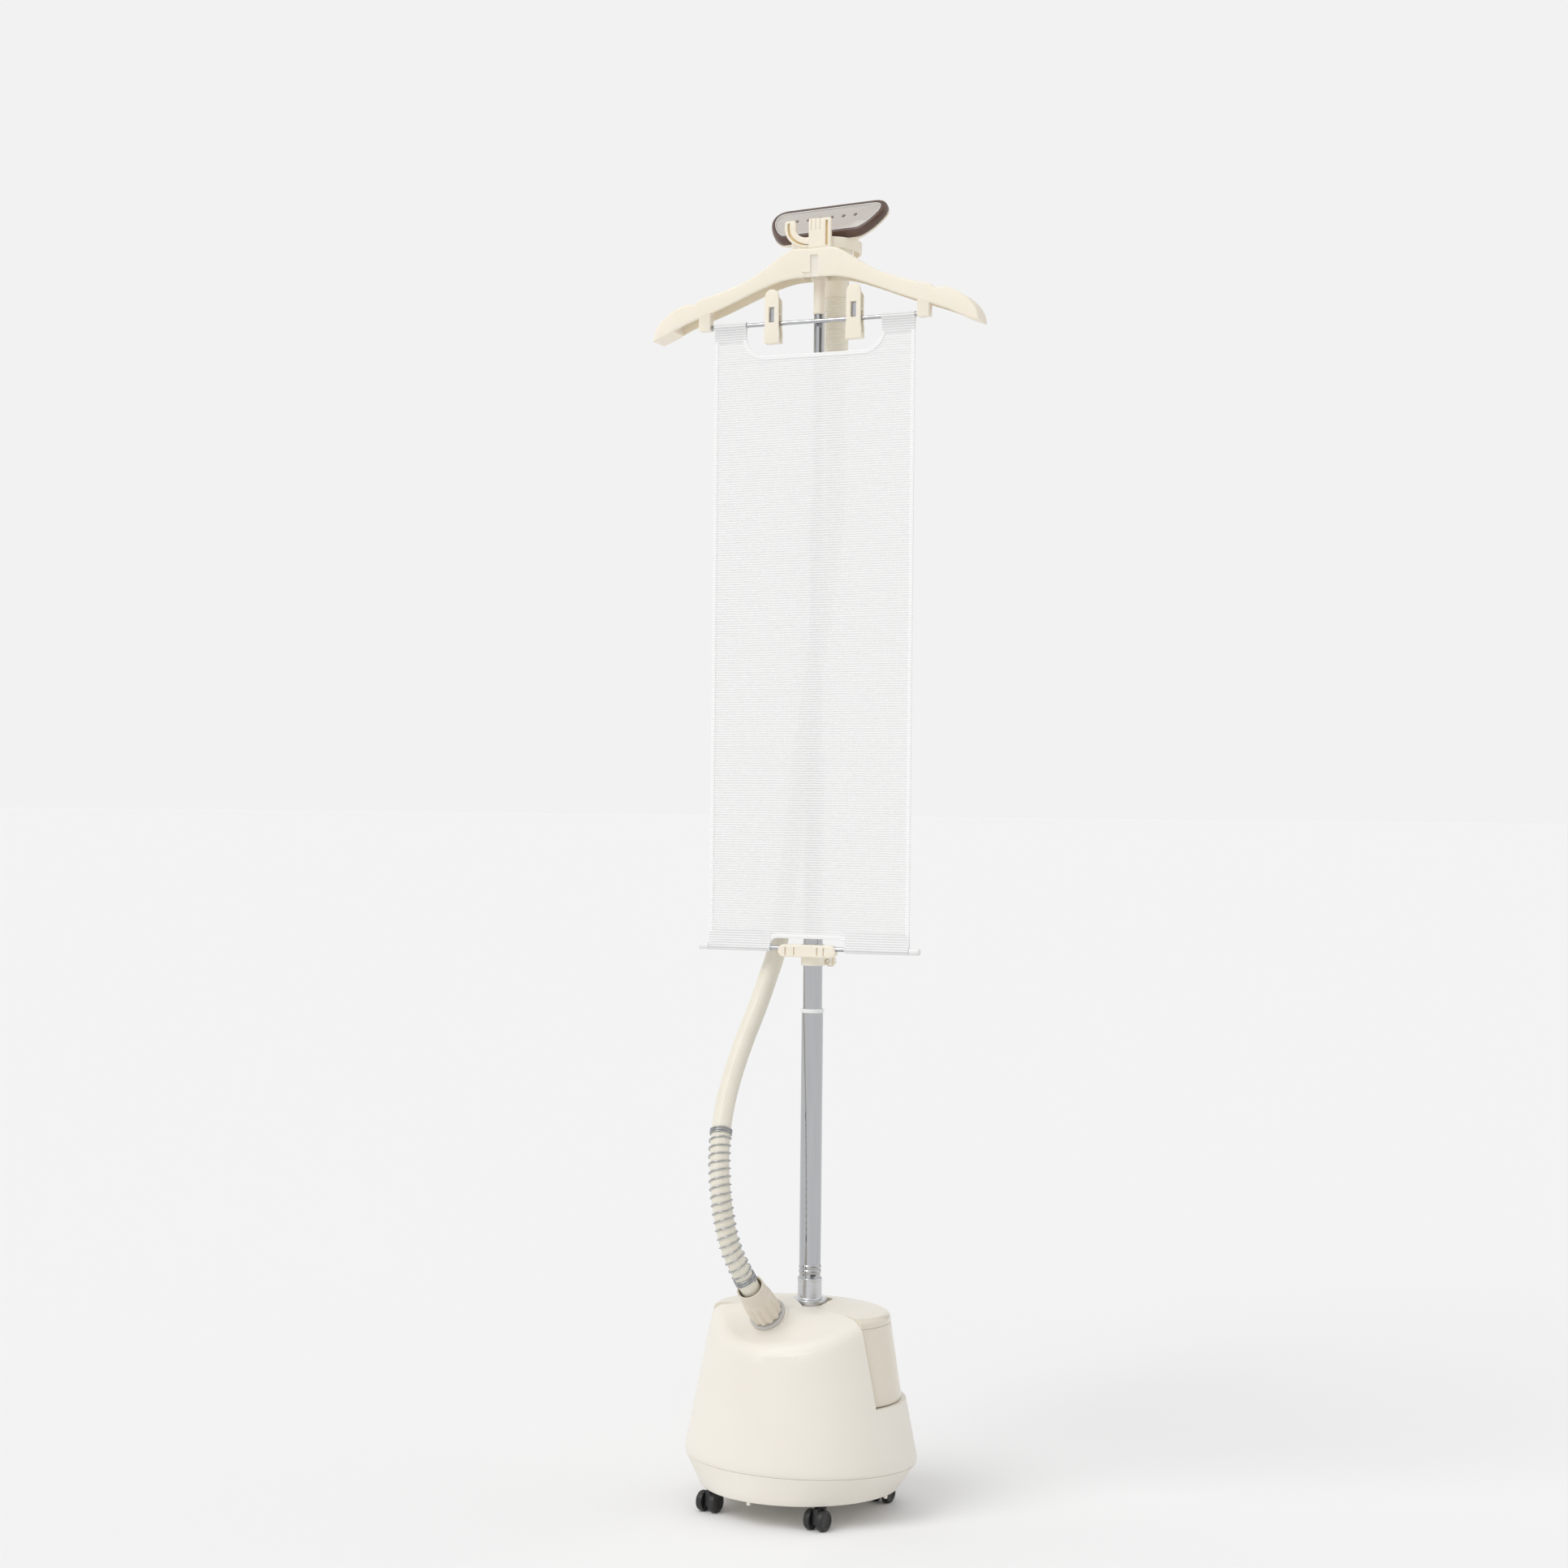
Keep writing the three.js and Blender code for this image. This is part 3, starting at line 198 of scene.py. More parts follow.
# Turned aluminium, its tool marks running round in its gloss, with painted reflection streaks running round in its
# colour.
aluminium = bright_metal("satin turned aluminium", "#c9cacd", 0.2, 1.2, (0.15, 0.15, 4), 0.12)
steel = bright_metal("bright spring steel wire", "#a9acb1", 0.16, 1.5, (1, 1, 1))
copper = bright_metal("drawn copper pipe", "#b87a55", 0.3, 4.0, (1, 1, 0.2))
cast = bright_metal("die cast boiler aluminium", "#b5b6b8", 0.4, 2.0, (1, 1, 1), 0.15)


def frosted_tank():
    """Frosted polycarbonate: light comes through, and shapes behind it are only hinted at."""
    material, tree, shader, place = start(
        "frosted polycarbonate", IOR=1.58, Transmission_Weight=0.12, Coat_Weight=0.5, Coat_Roughness=0.12)
    tinted(tree, shader, place, "#f2ebdd", "#ece2cd", 60, (1, 1, 0.2))
    grained(tree, shader, place, 1.2, (0.28, 0.36), 0.08, 0.05)
    return material


def threads(tree, place, across_axis, pitch):
    """Threads that lie side by side `pitch` millimetres apart, as 0 between them to 1 on them."""
    bands = add(tree, "ShaderNodeTexWave", {"Vector": place, "Scale": FULL / 20 / (pitch * MM), "Distortion": 0.0},
                wave_type="BANDS", bands_direction=across_axis, wave_profile="SIN")
    return bands.outputs["Fac"]


def mesh_cloth(name, clear, solid):
    """Open polyester mesh. Its 1.3 mm threads would blur away, so they are drawn 3.2 mm apart."""
    pitch = 3.2
    material, tree, shader, place = start(name, Roughness=0.85, Sheen_Weight=0.25)
    weft = threads(tree, place, "Z", pitch)
    warp = add(tree, "ShaderNodeMath", {0: threads(tree, place, "X", pitch * 0.7), 1: 0.45}, operation="MULTIPLY")
    both = add(tree, "ShaderNodeMath", {0: weft, 1: warp.outputs[0]}, operation="MAXIMUM").outputs[0]
    tone = add(tree, "ShaderNodeMix", {"Factor": both}, data_type="RGBA")
    tone.inputs["A"].default_value = rgb("#efeff0")
    tone.inputs["B"].default_value = rgb("#fdfdfc")
    tree.links.new(tone.outputs["Result"], shader.inputs["Base Color"])
    link_range(tree, both, shader.inputs["Alpha"], clear, solid)
    link_bump(tree, shader, both, 0.5, 0.25)
    return material


def hose_sleeve():
    """A smooth cream vinyl sleeve, a little uneven in tone along its length."""
    material, tree, shader, place = start("cream vinyl hose sleeve", IOR=1.5, Coat_Weight=0.15, Coat_Roughness=0.3)
    tinted(tree, shader, place, "#ebe6d8", "#e2dccb", 14, (1, 1, 0.15))
    grained(tree, shader, place, 1.5, (0.4, 0.52), 0.1, 0.08)
    return material


frosted = frosted_tank()
cloth = mesh_cloth("white polyester mesh", 0.62, 0.93)
binding_tape = mesh_cloth("white woven binding tape", 0.96, 1.0)
sleeve = hose_sleeve()


# ---- making pieces
def made(name, bm):
    """The object for a bmesh, its doubles merged and its faces pointing out."""
    bmesh.ops.remove_doubles(bm, verts=bm.verts, dist=1e-6)
    bmesh.ops.recalc_face_normals(bm, faces=bm.faces)
    mesh = bpy.data.meshes.new(name)
    bm.to_mesh(mesh)
    bm.free()
    obj = bpy.data.objects.new(name, mesh)
    bpy.context.scene.collection.objects.link(obj)
    return obj


def spun(name, rows, steps, place, ring=False):
    """A line of `rows` points spun through `steps` sides, each point then put, in millimetres, where
    place(row, share of a turn) says. A ring's last row joins its first."""
    bm = bmesh.new()
    line = [bm.verts.new((1, 0, row)) for row in range(rows)]
    edges = [bm.edges.new(pair) for pair in zip(line, line[1:])]
    if ring:
        edges.append(bm.edges.new((line[-1], line[0])))
    bmesh.ops.spin(bm, geom=line + edges, cent=(0, 0, 0), axis=(0, 0, 1), angle=FULL, steps=steps, use_merge=True)
    for vert in bm.verts:
        side = round(math.atan2(vert.co.y, vert.co.x) / FULL * steps) % steps
        vert.co = Vector(place(round(vert.co.z), side / steps)) * MM
    return made(name, bm)


def turned(name, profile, steps=72, ring=False, cut=lambda r, z, share: 0):
    """A [radius, height] profile turned about Z, each point drawn in by cut(radius, height, share of a turn)."""
    def place(row, share):
        r, z = profile[row]
        r -= cut(r, z, share)
        return (r * math.cos(share * FULL), r * math.sin(share * FULL), z)

    return spun(name, len(profile), steps, place, ring)


def plug(radius, low, high, at=HERE, steps=48):
    """A plain cylinder along Z, mostly used to cut a hole."""
    obj = turned("plug", [(0, low), (radius, low), (radius, high), (0, high)], steps)
    obj.data.transform(at)
    return obj


def rounded(points, radius=1.0, steps=3):
    """A [radius, height] profile with its corners rounded, save its two ends."""
    out = [points[0]]
    for before, here, after in zip(points, points[1:], points[2:]):
        a, b, c = (Vector(p) for p in (before, here, after))
        reach = min(radius, (a - b).length * 0.45, (c - b).length * 0.45)
        first = b + (a - b).normalized() * reach
        last = b + (c - b).normalized() * reach
        for i in range(steps + 1):
            t = i / steps
            out.append(tuple(first * (1 - t) ** 2 + b * 2 * t * (1 - t) + last * t * t))
    return out + [points[-1]]


def prism(name, outline, low, high, bevel=0, segments=3, along="Y"):
    """A flat outline given a thickness along one axis, its rims rounded. Its points lie along the other two."""
    bm = bmesh.new()
    axis = "XYZ".index(along)

    def point(a, b, depth):
        return Vector((*(a, b)[:axis], depth, *(a, b)[axis:])) * MM

    face = bm.faces.new([bm.verts.new(point(a, b, low)) for a, b in outline])
    step = point(0, 0, high - low)
    grown = bmesh.ops.extrude_face_region(bm, geom=[face], use_keep_orig=True)
    bmesh.ops.translate(bm, vec=step, verts=[v for v in grown["geom"] if isinstance(v, bmesh.types.BMVert)])
    bmesh.ops.recalc_face_normals(bm, faces=bm.faces)
    if bevel:
        rims = [e for e in bm.edges if e.calc_face_angle(0) > math.radians(50)]
        bmesh.ops.bevel(bm, geom=rims, offset=bevel * MM, affect="EDGES", segments=segments, profile=0.5,
                        material=-1, clamp_overlap=True)
    return made(name, bm)


def brick(name, xs, ys, zs, bevel=0.0, segments=3):
    outline = [(xs[0], zs[0]), (xs[1], zs[0]), (xs[1], zs[1]), (xs[0], zs[1])]
    return prism(name, outline, ys[0], ys[1], bevel, segments)


def applied(obj):
    """Replaces the object's mesh by what its modifiers make of it."""
    seen = obj.evaluated_get(bpy.context.evaluated_depsgraph_get())
    mesh = bpy.data.meshes.new_from_object(seen)
    obj.modifiers.clear()
    obj.data = mesh
    return obj


def combine(obj, *others, how="DIFFERENCE"):
    """Cuts the others away from obj, or joins or keeps what they share, and removes them."""
    for other in others:
        cut = obj.modifiers.new("cut", "BOOLEAN")
        cut.operation = how
        cut.solver = "EXACT"
        cut.object = other
        applied(obj)
        bpy.data.objects.remove(other)
    return obj


def soften(obj, width, angle=35, segments=2):
    """A live bevel on the sharp edges."""
    bevel = obj.modifiers.new("soft edges", "BEVEL")
    bevel.width = width * MM
    bevel.segments = segments
    bevel.limit_method = "ANGLE"
    bevel.angle_limit = math.radians(angle)
    bevel.harden_normals = False
    return obj


def settle(obj, body, slot, material, *nodes, at=HERE, sharp=35):
    """Puts a finished piece in the row's frame, gives it its finish and hands it to its body."""
    obj.data.transform(at)
    if at.determinant() < 0:
        obj.data.flip_normals()
    obj.data.materials.clear()
    obj.data.materials.append(material)
    obj.data.shade_smooth()
    obj.data.set_sharp_from_angle(angle=math.radians(sharp))
    if nodes:
        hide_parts(*nodes)
    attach(obj, body)
    return obj


def paint_node(node, material):
    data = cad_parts[node].data
    data.materials.clear()
    data.materials.append(material)


# ---- camera, floor and lights
VIEW_FROM = (1753.9, -2917.5, 894.7)
VIEW_TURN = 31.5
ROLL = 0.56
camera = bpy.data.objects.new("camera", bpy.data.cameras.new("camera"))
camera.data.lens = 60.56
camera.data.sensor_width = 36
camera.data.shift_y = 0.0176
camera.matrix_world = shift(*VIEW_FROM) @ turn(VIEW_TURN, "Z") @ turn(90, "X") @ turn(ROLL, "Z")
bpy.context.scene.collection.objects.link(camera)
bpy.context.scene.camera = camera


FLOOR_TONE = "#f1f1f1"
BACKDROP = 0.887


def stage_floor():
    bm = bmesh.new()
    bmesh.ops.create_grid(bm, x_segments=2, y_segments=2, size=600)
    floor = made("studio_floor", bm)
    material, tree, shader, place = start("pale studio floor", Roughness=0.95, Specular_IOR_Level=0.0)
    colour, _ = mottled(tree, place, rgb(FLOOR_TONE), rgb(FLOOR_TONE), 900)
    tree.links.new(colour, shader.inputs["Base Color"])
    floor.data.materials.append(material)


def lamp(name, kind, energy, place, aim, **settings):
    data = bpy.data.lights.new(name, kind)
    data.energy = energy
    for key, value in settings.items():
        setattr(data, key, value)
    obj = bpy.data.objects.new(name, data)
    obj.location = place
    obj.rotation_euler = (Vector(aim) - Vector(place)).to_track_quat("-Z", "Y").to_euler()
    bpy.context.scene.collection.objects.link(obj)


def set_world():
    """A white studio, even to the eye, whose dark flags give metal something to reflect."""
    world = bpy.data.worlds.new("studio")
    world.use_nodes = True
    tree = world.node_tree
    place = add(tree, "ShaderNodeTexCoord").outputs["Generated"]
    ahead = add(tree, "ShaderNodeVectorMath", {0: place, 1: (-0.917, 0.3985, 0)}, operation="DOT_PRODUCT")
    share = add(tree, "ShaderNodeMapRange", {"Value": ahead.outputs["Value"], "From Min": -1.0, "From Max": 1.0})
    ramp = add(tree, "ShaderNodeValToRGB", {"Fac": share.outputs["Result"]})
    stops = ((0.0, 0.16), (0.05, 0.2), (0.1, 0.86), (0.3, 0.98), (0.38, 0.98), (0.43, 0.9), (0.58, 0.9),
             (0.62, 0.15), (0.69, 0.2), (0.76, BACKDROP), (1.0, BACKDROP))
    for i, (where, grey_level) in enumerate(stops):
        stop = ramp.color_ramp.elements[i] if i < 2 else ramp.color_ramp.elements.new(where)
        stop.position = where
        stop.color = (grey_level, grey_level, grey_level, 1)
    seen = add(tree, "ShaderNodeLightPath").outputs["Is Camera Ray"]
    even = add(tree, "ShaderNodeMix", {"Factor": seen}, data_type="RGBA")
    tree.links.new(ramp.outputs["Color"], even.inputs["A"])
    even.inputs["B"].default_value = (BACKDROP, BACKDROP, BACKDROP, 1)
    tree.links.new(even.outputs["Result"], tree.nodes["Background"].inputs["Color"])
    bpy.context.scene.world = world
    bpy.context.scene.view_settings.view_transform = "Standard"


stage_floor()
set_world()
lamp("sun", "SUN", 1.0, (-1.3, -3.2, 4.6), (0, 0, 0.6), angle=math.radians(35))


# ---- hose and sprung guard
HOSE_ROUTE = [
    (-22, -84.1, 285.9), (-23.2, -94.5, 297.5), (-28, -107.5, 319), (-34.5, -114.5, 340), (-40, -118, 362),
    (-48.6, -117.5, 402), (-57, -110, 441.4), (-65, -96, 480.5), (-71, -76, 519.7), (-74, -52, 559.1),
    (-74, -26, 599.2), (-71.3, 0, 639.9), (-66.4, 19.5, 681.6), (-63.6, 28, 702.6), (-60.5, 36, 731.2),
    (-57, 45.5, 788.3), (-53.6, 53, 848.8), (-48.9, 58.5, 914.9), (-41.8, 62, 983.5), (-35.4, 64.5, 1038.1),
    (-28.2, 67.4, 1092.7), (-17.4, 71, 1174.9), (-8, 73.8, 1248), (-5.5, 74.4, 1292), (-5.5, 74.4, 1338),
    (-5.5, 74.4, 1396.7), (-5.5, 74.4, 1450), (-5.5, 74.4, 1510), (-5.5, 74.4, 1566),
]
HOSE_R = 12.5


def smooth_line(points, every):
    """Points about `every` millimetres apart on a smooth curve through the given ones."""
    ends = [2 * Vector(points[0]) - Vector(points[1]), 2 * Vector(points[-1]) - Vector(points[-2])]
    held = [ends[0], *map(Vector, points), ends[1]]
    out = []
    for a, b, c, d in zip(held, held[1:], held[2:], held[3:]):
        ta, tb, tc = ((q - p).length ** 0.5 for p, q in ((a, b), (b, c), (c, d)))
        into = ((b - a) / ta - (c - a) / (ta + tb) + (c - b) / tb) * tb
        away = ((c - b) / tb - (d - b) / (tb + tc) + (d - c) / tc) * tb
        count = max(1, round((c - b).length / every))
        for i in range(count):
            t = i / count
            out.append(b * (2 * t**3 - 3 * t**2 + 1) + into * (t**3 - 2 * t**2 + t)
                       + c * (3 * t**2 - 2 * t**3) + away * (t**3 - t**2))
    return out + [held[-2]]


def frames_along(line):
    """For each point, two directions square to the line that don't twist."""
    out = []
    side = Vector((1, 0, 0))
    for i, point in enumerate(line):
        ahead = (line[min(i + 1, len(line) - 1)] - line[max(i - 1, 0)]).normalized()
        side = (side - ahead * side.dot(ahead)).normalized()
        out.append((point, side, ahead.cross(side)))
    return out


def pipe_along(name, line, radius, steps):
    """A closed tube; radius(row, share) gives its radius."""
    frames = frames_along(line)
    last = len(frames) + 1

    def place(row, share):
        index = min(max(row - 1, 0), len(frames) - 1)
        point, a, b = frames[index]
        r = 0 if row in (0, last) else radius(index, share)
        return point + a * (r * math.cos(share * FULL)) + b * (r * math.sin(share * FULL))

    return spun(name, len(frames) + 2, steps, place)


hose_line = smooth_line(HOSE_ROUTE, 5)
RIDGES = 20


def ridged(index, share):
    return HOSE_R - 0.22 * (1 - math.cos(share * FULL * RIDGES)) / 2


hose = settle(pipe_along("steam_hose_sleeve", hose_line, ridged, RIDGES * 4), "base", "hose", sleeve, "steam_hose",
              sharp=180)
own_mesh(hose)

GUARD_R = 14.1
WIRE_R = 0.85
OPEN_PITCH = 10.2
CLOSED_PITCH = 2.6
GUARD_START = 20.0
GUARD_HIGH = 490
TURN_PARTS = 12


def guard_turns(top):
    """How far along the hose, in millimetres, each twelfth of a turn of the spring lies."""
    at = GUARD_START
    out = []
    while at < top:
        out.append(at)
        near = min(at - GUARD_START, top - at)
        pitch = CLOSED_PITCH if near < 3.2 * CLOSED_PITCH else OPEN_PITCH
        at += pitch / TURN_PARTS
    return out


def spring_guard():
    fine = smooth_line(HOSE_ROUTE, 1)
    frames = frames_along(fine)
    run = [0.0]
    for p, q in zip(fine, fine[1:]):
        run.append(run[-1] + (q - p).length)
    line = []
    index = 0
    top = next(s for s, p in zip(run, fine) if p.z > GUARD_HIGH)
    for i, at in enumerate(guard_turns(top)):
        while run[index + 1] < at:
            index += 1
        point, a, b = frames[index]
        angle = i / TURN_PARTS * FULL
        line.append(point + (a * math.cos(angle) + b * math.sin(angle)) * GUARD_R)
    wire = pipe_along("hose_spring_wire", line, lambda index, share: WIRE_R, 8)
    settle(wire, "base", "chrome", steel, "hose_spring_guard", sharp=180)
    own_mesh(wire)


spring_guard()

# ---- base
TAPER = 0.1985
WALL = 2.5
GAP = 0.4
SEAM = low_of("body_shell")
CORNER = SEAM + 4
BODY_X, BODY_Y = half_size("body_shell")
BODY_TOP = 257.7
TRAY_LOW = 30
TRAY_X, TRAY_Y = 130.5, 128
BAY_FLOOR = low_of("water_tank") - GAP
TANK_TOP = high_of("water_tank")
TANK_INSET = 5
CASTERS = (("front_left", -80, -82), ("front_right", 80, -82), ("rear_left", -80, 82), ("rear_right", 80, 82))


def half(z, inset=0.0):
    """The casing's half width and half depth at a height."""
    draw = TAPER * (z - CORNER) + inset
    return BODY_X - draw, BODY_Y - draw


def oval(sizes, share, z):
    return (sizes[0] * math.cos(share * FULL), sizes[1] * math.sin(share * FULL), z)


def deck(x, y):
    """Height of the casing's top: flat behind, sloping in front, with a broad dish about the nozzle."""
    ahead = -31 - y
    slope = 0.53 * 0.5 * (ahead + math.hypot(ahead, 8)) - 0.3
    away = math.hypot((x + 22) / 66, (y + 66) / 40)
    dish = 10 * (1 - away**2) ** 2 if away < 1 else 0
    return min(BODY_TOP, BODY_TOP - slope) - dish


def casing_solid(name, wall):
    """The casing as a solid, drawn in by a wall's thickness for its hollow."""
    rim = 13 - wall
    sides = 14
    curve = 7
    spokes = 22

    def place(row, share):
        if row == 0:
            return (0, 0, SEAM - (9 if wall else 0))
        if row == 1:
            return oval(half(CORNER, wall + 0.9), share, SEAM - (9 if wall else 0))
        if row == 2:
            return oval(half(CORNER, wall + 0.35), share, CORNER - 1.4)
        edge = oval(half(240, wall), share, 0)
        height = deck(edge[0], edge[1]) - wall
        row -= 3
        if row <= sides:
            z = CORNER + 0.6 + (height - rim - CORNER - 0.6) * row / sides
            return oval(half(z, wall), share, z)
        row -= sides
        if row <= curve:
            angle = row / curve * math.pi / 2
            inset = rim * (1 - math.cos(angle))
            drop = rim * (1 - math.sin(angle))
            x, y, _ = oval(half(height - drop, wall + inset), share, 0)
            return (x, y, deck(x, y) - wall - drop)
        row -= curve
        x, y, _ = oval(half(height, wall + rim), share, 0)
        reach = 1 - row / spokes
        return (x * reach, y * reach, deck(x * reach, y * reach) - wall)

    return spun(name, 3 + sides + curve + spokes + 1, 144, place)


def bay_outline(grow):
    """The tank bay in plan: all behind the casing's front, less the tongue under the pole."""
    side, root, half_tab, rear, corner = -38 - grow, -4 - grow, 23.5 - grow, 45 - grow, 10
    points = [(200, 200), (-200, 200), (-200, side), (-107.6, side), (-half_tab, root)]
    for i in range(9):
        a = math.pi - i / 8 * math.pi / 2
        points.append((corner - half_tab + corner * math.cos(a), rear - corner + corner * math.sin(a)))
    for i in range(9):
        a = math.pi / 2 - i / 8 * math.pi / 2
        points.append((half_tab - corner + corner * math.cos(a), rear - corner + corner * math.sin(a)))
    return points + [(half_tab, root), (107.6, side), (200, side)]


def bay(name, grow, low, high=400):
    return prism(name, bay_outline(grow), low, high, along="Z")


def rear_face(x, z):
    width, depth = half(z)
    return depth * math.sqrt(1 - (x / width) ** 2)


BUTTON_AT = (42, 104)
INLET_AT = (-42, 96)


def rearward(at):
    """Turns a Z axis to point out through the rear wall at x, z."""
    return shift(at[0], 0, at[1]) @ turn(-90, "X")


VALVE = shift(0, 76, 0)


def casing():
    shell = combine(casing_solid("casing_shell", 0), bay("bay", 0, BAY_FLOOR))
    hollow = combine(casing_solid("casing_hollow", WALL), bay("bay", WALL, BAY_FLOOR - WALL))
    combine(shell, hollow, plug(12.4, -60, 12, NOZZLE), plug(16.4, 190, 300, shift(0, POLE_BACK, 0)),
            plug(20, BAY_FLOOR - 10, BAY_FLOOR + 10, VALVE),
            plug(10.4, 60, 200, rearward(BUTTON_AT), 32), plug(7.4, 60, 200, rearward(INLET_AT), 32))
    soften(shell, 1.2, 40)
    settle(shell, "base", "ivory", ivory, "body_shell")
    boss = turned("nozzle_boss", rounded([
        (12.5, -4.6), (24.2, -4.6), (25.2, -7), (27, -13), (33, -19), (43, -23.5), (43, -28), (12.5, -28),
    ], 2.5, 4), 96, ring=True)
    settle(boss, "base", "ivory", ivory, at=NOZZLE, sharp=60)


def tray():
    low, high = TRAY_LOW, SEAM - GAP
    outer = [(0, 0, low), (TRAY_X - 6, TRAY_Y - 6, low), (TRAY_X - 1.4, TRAY_Y - 1.4, low + 1.2),
             (TRAY_X + 0.4, TRAY_Y, low + 4)]
    top = half(CORNER, 0.9)
    for i in range(1, 6):
        t = i / 5
        outer.append((TRAY_X + (top[0] - TRAY_X) * t, TRAY_Y + (top[1] - TRAY_Y) * t,
                      low + 4 + (high - low - 4.6) * t))
    outer.append((top[0] - 0.7, top[1] - 0.7, high))
    inner = [(top[0] - 3, top[1] - 3, high), (TRAY_X - 3, TRAY_Y - 3, low + 3), (0, 0, low + 3)]
    bowl = oval_solid("base_tray_bowl", outer + inner)
    holes = []
    for _, x, y in CASTERS:
        combine(bowl, plug(8, low + 1, low + 22, shift(x, y, 0), 32), how="UNION")
        holes.append(plug(4.4, 0, low + 18, shift(x, y, 0)))
    for x, y in ((0, -124), (0, 124), (-126.5, 0), (126.5, 0)):
        foot = turned("foot", rounded([(0, low - 3), (2.5, low - 3), (2.5, low + 1), (0, low + 1)], 0.8), 20)
        foot.data.transform(shift(x, y, 0))
        combine(bowl, foot, how="UNION")
    combine(bowl, *holes)
    settle(bowl, "base", "ivory", ivory, "base_tray", sharp=40)


def tank_rings(low, high, wall, rows):
    """The tank's outer rings from its rounded foot up, drawn in by a wall."""
    foot = TANK_INSET + GAP + wall
    rings = [(0, 0, low), (*half(low, foot + 5), low), (*half(low, foot + 1.4), low + 1.4)]
    for i in range(rows + 1):
        z = low + 5 + (high - low - 5) * i / rows
        rise = max(0.0, (BODY_TOP - z) / (BODY_TOP - BAY_FLOOR))
        rings.append((*half(z, GAP + TANK_INSET * rise + wall), z))
    return rings + [(0, 0, high)]


def oval_solid(name, rings):
    return spun(name, len(rings), 144, lambda row, share: oval(rings[row][:2], share, rings[row][2]))


def tank():
    low = low_of("water_tank")
    shell = oval_solid("tank_shell", tank_rings(low, TANK_TOP, 0, 8))
    combine(shell, bay("bay", -GAP, low - 1), how="INTERSECT")
    hollow = oval_solid("tank_hollow", tank_rings(low + 2.8, TANK_TOP + 5, WALL, 8))
    combine(hollow, bay("bay", -GAP - WALL, low + 2.8), how="INTERSECT")
    combine(shell, hollow, plug(12.4, low - 5, low + 9, VALVE))
    settle(soften(shell, 0.8, 40), "tank", "frosted", frosted, "water_tank")


def cover():
    low = TANK_TOP + GAP
    edge = half(low, GAP + 0.6)
    rows = [(0, 0, low), (*edge, low), (*half(249, GAP + 0.2), 249)]
    for i in range(1, 9):
        a = i / 8 * math.pi / 2
        rows.append((*half(249, GAP + 0.2 + 9 * (1 - math.cos(a))), 249 + 7.5 * math.sin(a)))
    crown = high_of("tank_cover")
    wide, deep, top = rows[-1]
    for i in range(1, 15):
        t = 1 - i / 14
        rows.append((wide * t, deep * t, top + (crown - top) * (1 - t * t)))
    flat = BODY_TOP - 1.0

    def place(row, share):
        x, y, z = rows[row]
        x, y, _ = oval((x, y), share, 0)
        rise = min(max((y + 20) / 82, 0), 1)
        rise = rise * rise * (3 - 2 * rise)
        return (x, y, z if z < flat else flat + (z - flat) * rise)

    lid = spun("tank_lid", len(rows), 144, place)
    under = spun("tank_lid_hollow", len(rows), 144, place)
    under.data.transform(Matrix.Diagonal((0.978, 0.973, 1, 1)))
    under.data.transform(shift(0, 0, -2.5))
    combine(lid, bay("bay", -GAP, low - 1), how="INTERSECT")
    combine(under, bay("bay", -GAP - WALL, low - 10), how="INTERSECT")
    combine(lid, under)
    settle(soften(lid, 1.0, 45), "tank", "frosted", frosted, "tank_cover")


casing()
tray()
tank()
cover()


# ---- behind and under the base
def rear_fittings():
    face = rear_face(*BUTTON_AT) + 3
    button = turned("power_cap", rounded([
        (0, face - 16), (7, face - 16), (7, face - 8), (10, face - 8), (10, face), (6.5, face), (5, face - 0.7),
        (0, face - 0.9),
    ], 0.8), 48)
    settle(button, "switch_cap", "grey", grey, "power_button", at=rearward(BUTTON_AT), sharp=50)
    bezel = turned("power_bezel", rounded([
        (10.6, face - 3.2), (12.6, face - 3.2), (12.6, face - 1.6), (10.6, face - 1.6), (10.6, face - 3.2),
    ], 0.5), 64, ring=True)
    settle(bezel, "base", "grey", grey, at=rearward(BUTTON_AT), sharp=50)
    for node, material in (
        ("cord_inlet", black), ("tank_valve_cap", cream), ("valve_plunger", cream), ("tank_seat", rubber),
        ("boiler_body", cast), ("boiler_lid", cast), ("heater_coil", steel), ("steam_riser", copper),
        ("feed_pipe", rubber), ("thermostat", black), ("switch_module", black), ("glide_bush_3", rubber),
        ("glide_bush_4", rubber),
    ):
        paint_node(node, material)


rear_fittings()

WHEEL_R = 13
WHEEL_HUB = 4.9
WHEEL_WIDE = 9
AXLE_BACK = 8


def caster(name, x, y):
    """A twin-wheel caster: dished wheels on one axle under a moulded hood."""
    face = WHEEL_HUB + WHEEL_WIDE
    one = [(2, WHEEL_HUB), (WHEEL_R - 0.8, WHEEL_HUB), (WHEEL_R, WHEEL_HUB + 0.6), (WHEEL_R, face - 2),
           (WHEEL_R - 1.2, face), (8.4, face), (7.6, face - 1.6), (0, face - 1.6)]
    other = [(r, -z) for r, z in reversed(one)]
    wheels = turned(f"wheel_pair_{name}", rounded(other + one, 0.7), 56)
    settle(wheels, f"wheels_{name}", "black", black, f"caster_wheels_{name}",
           at=shift(x, y - AXLE_BACK, WHEEL_R) @ turn(90, "Y"), sharp=40)


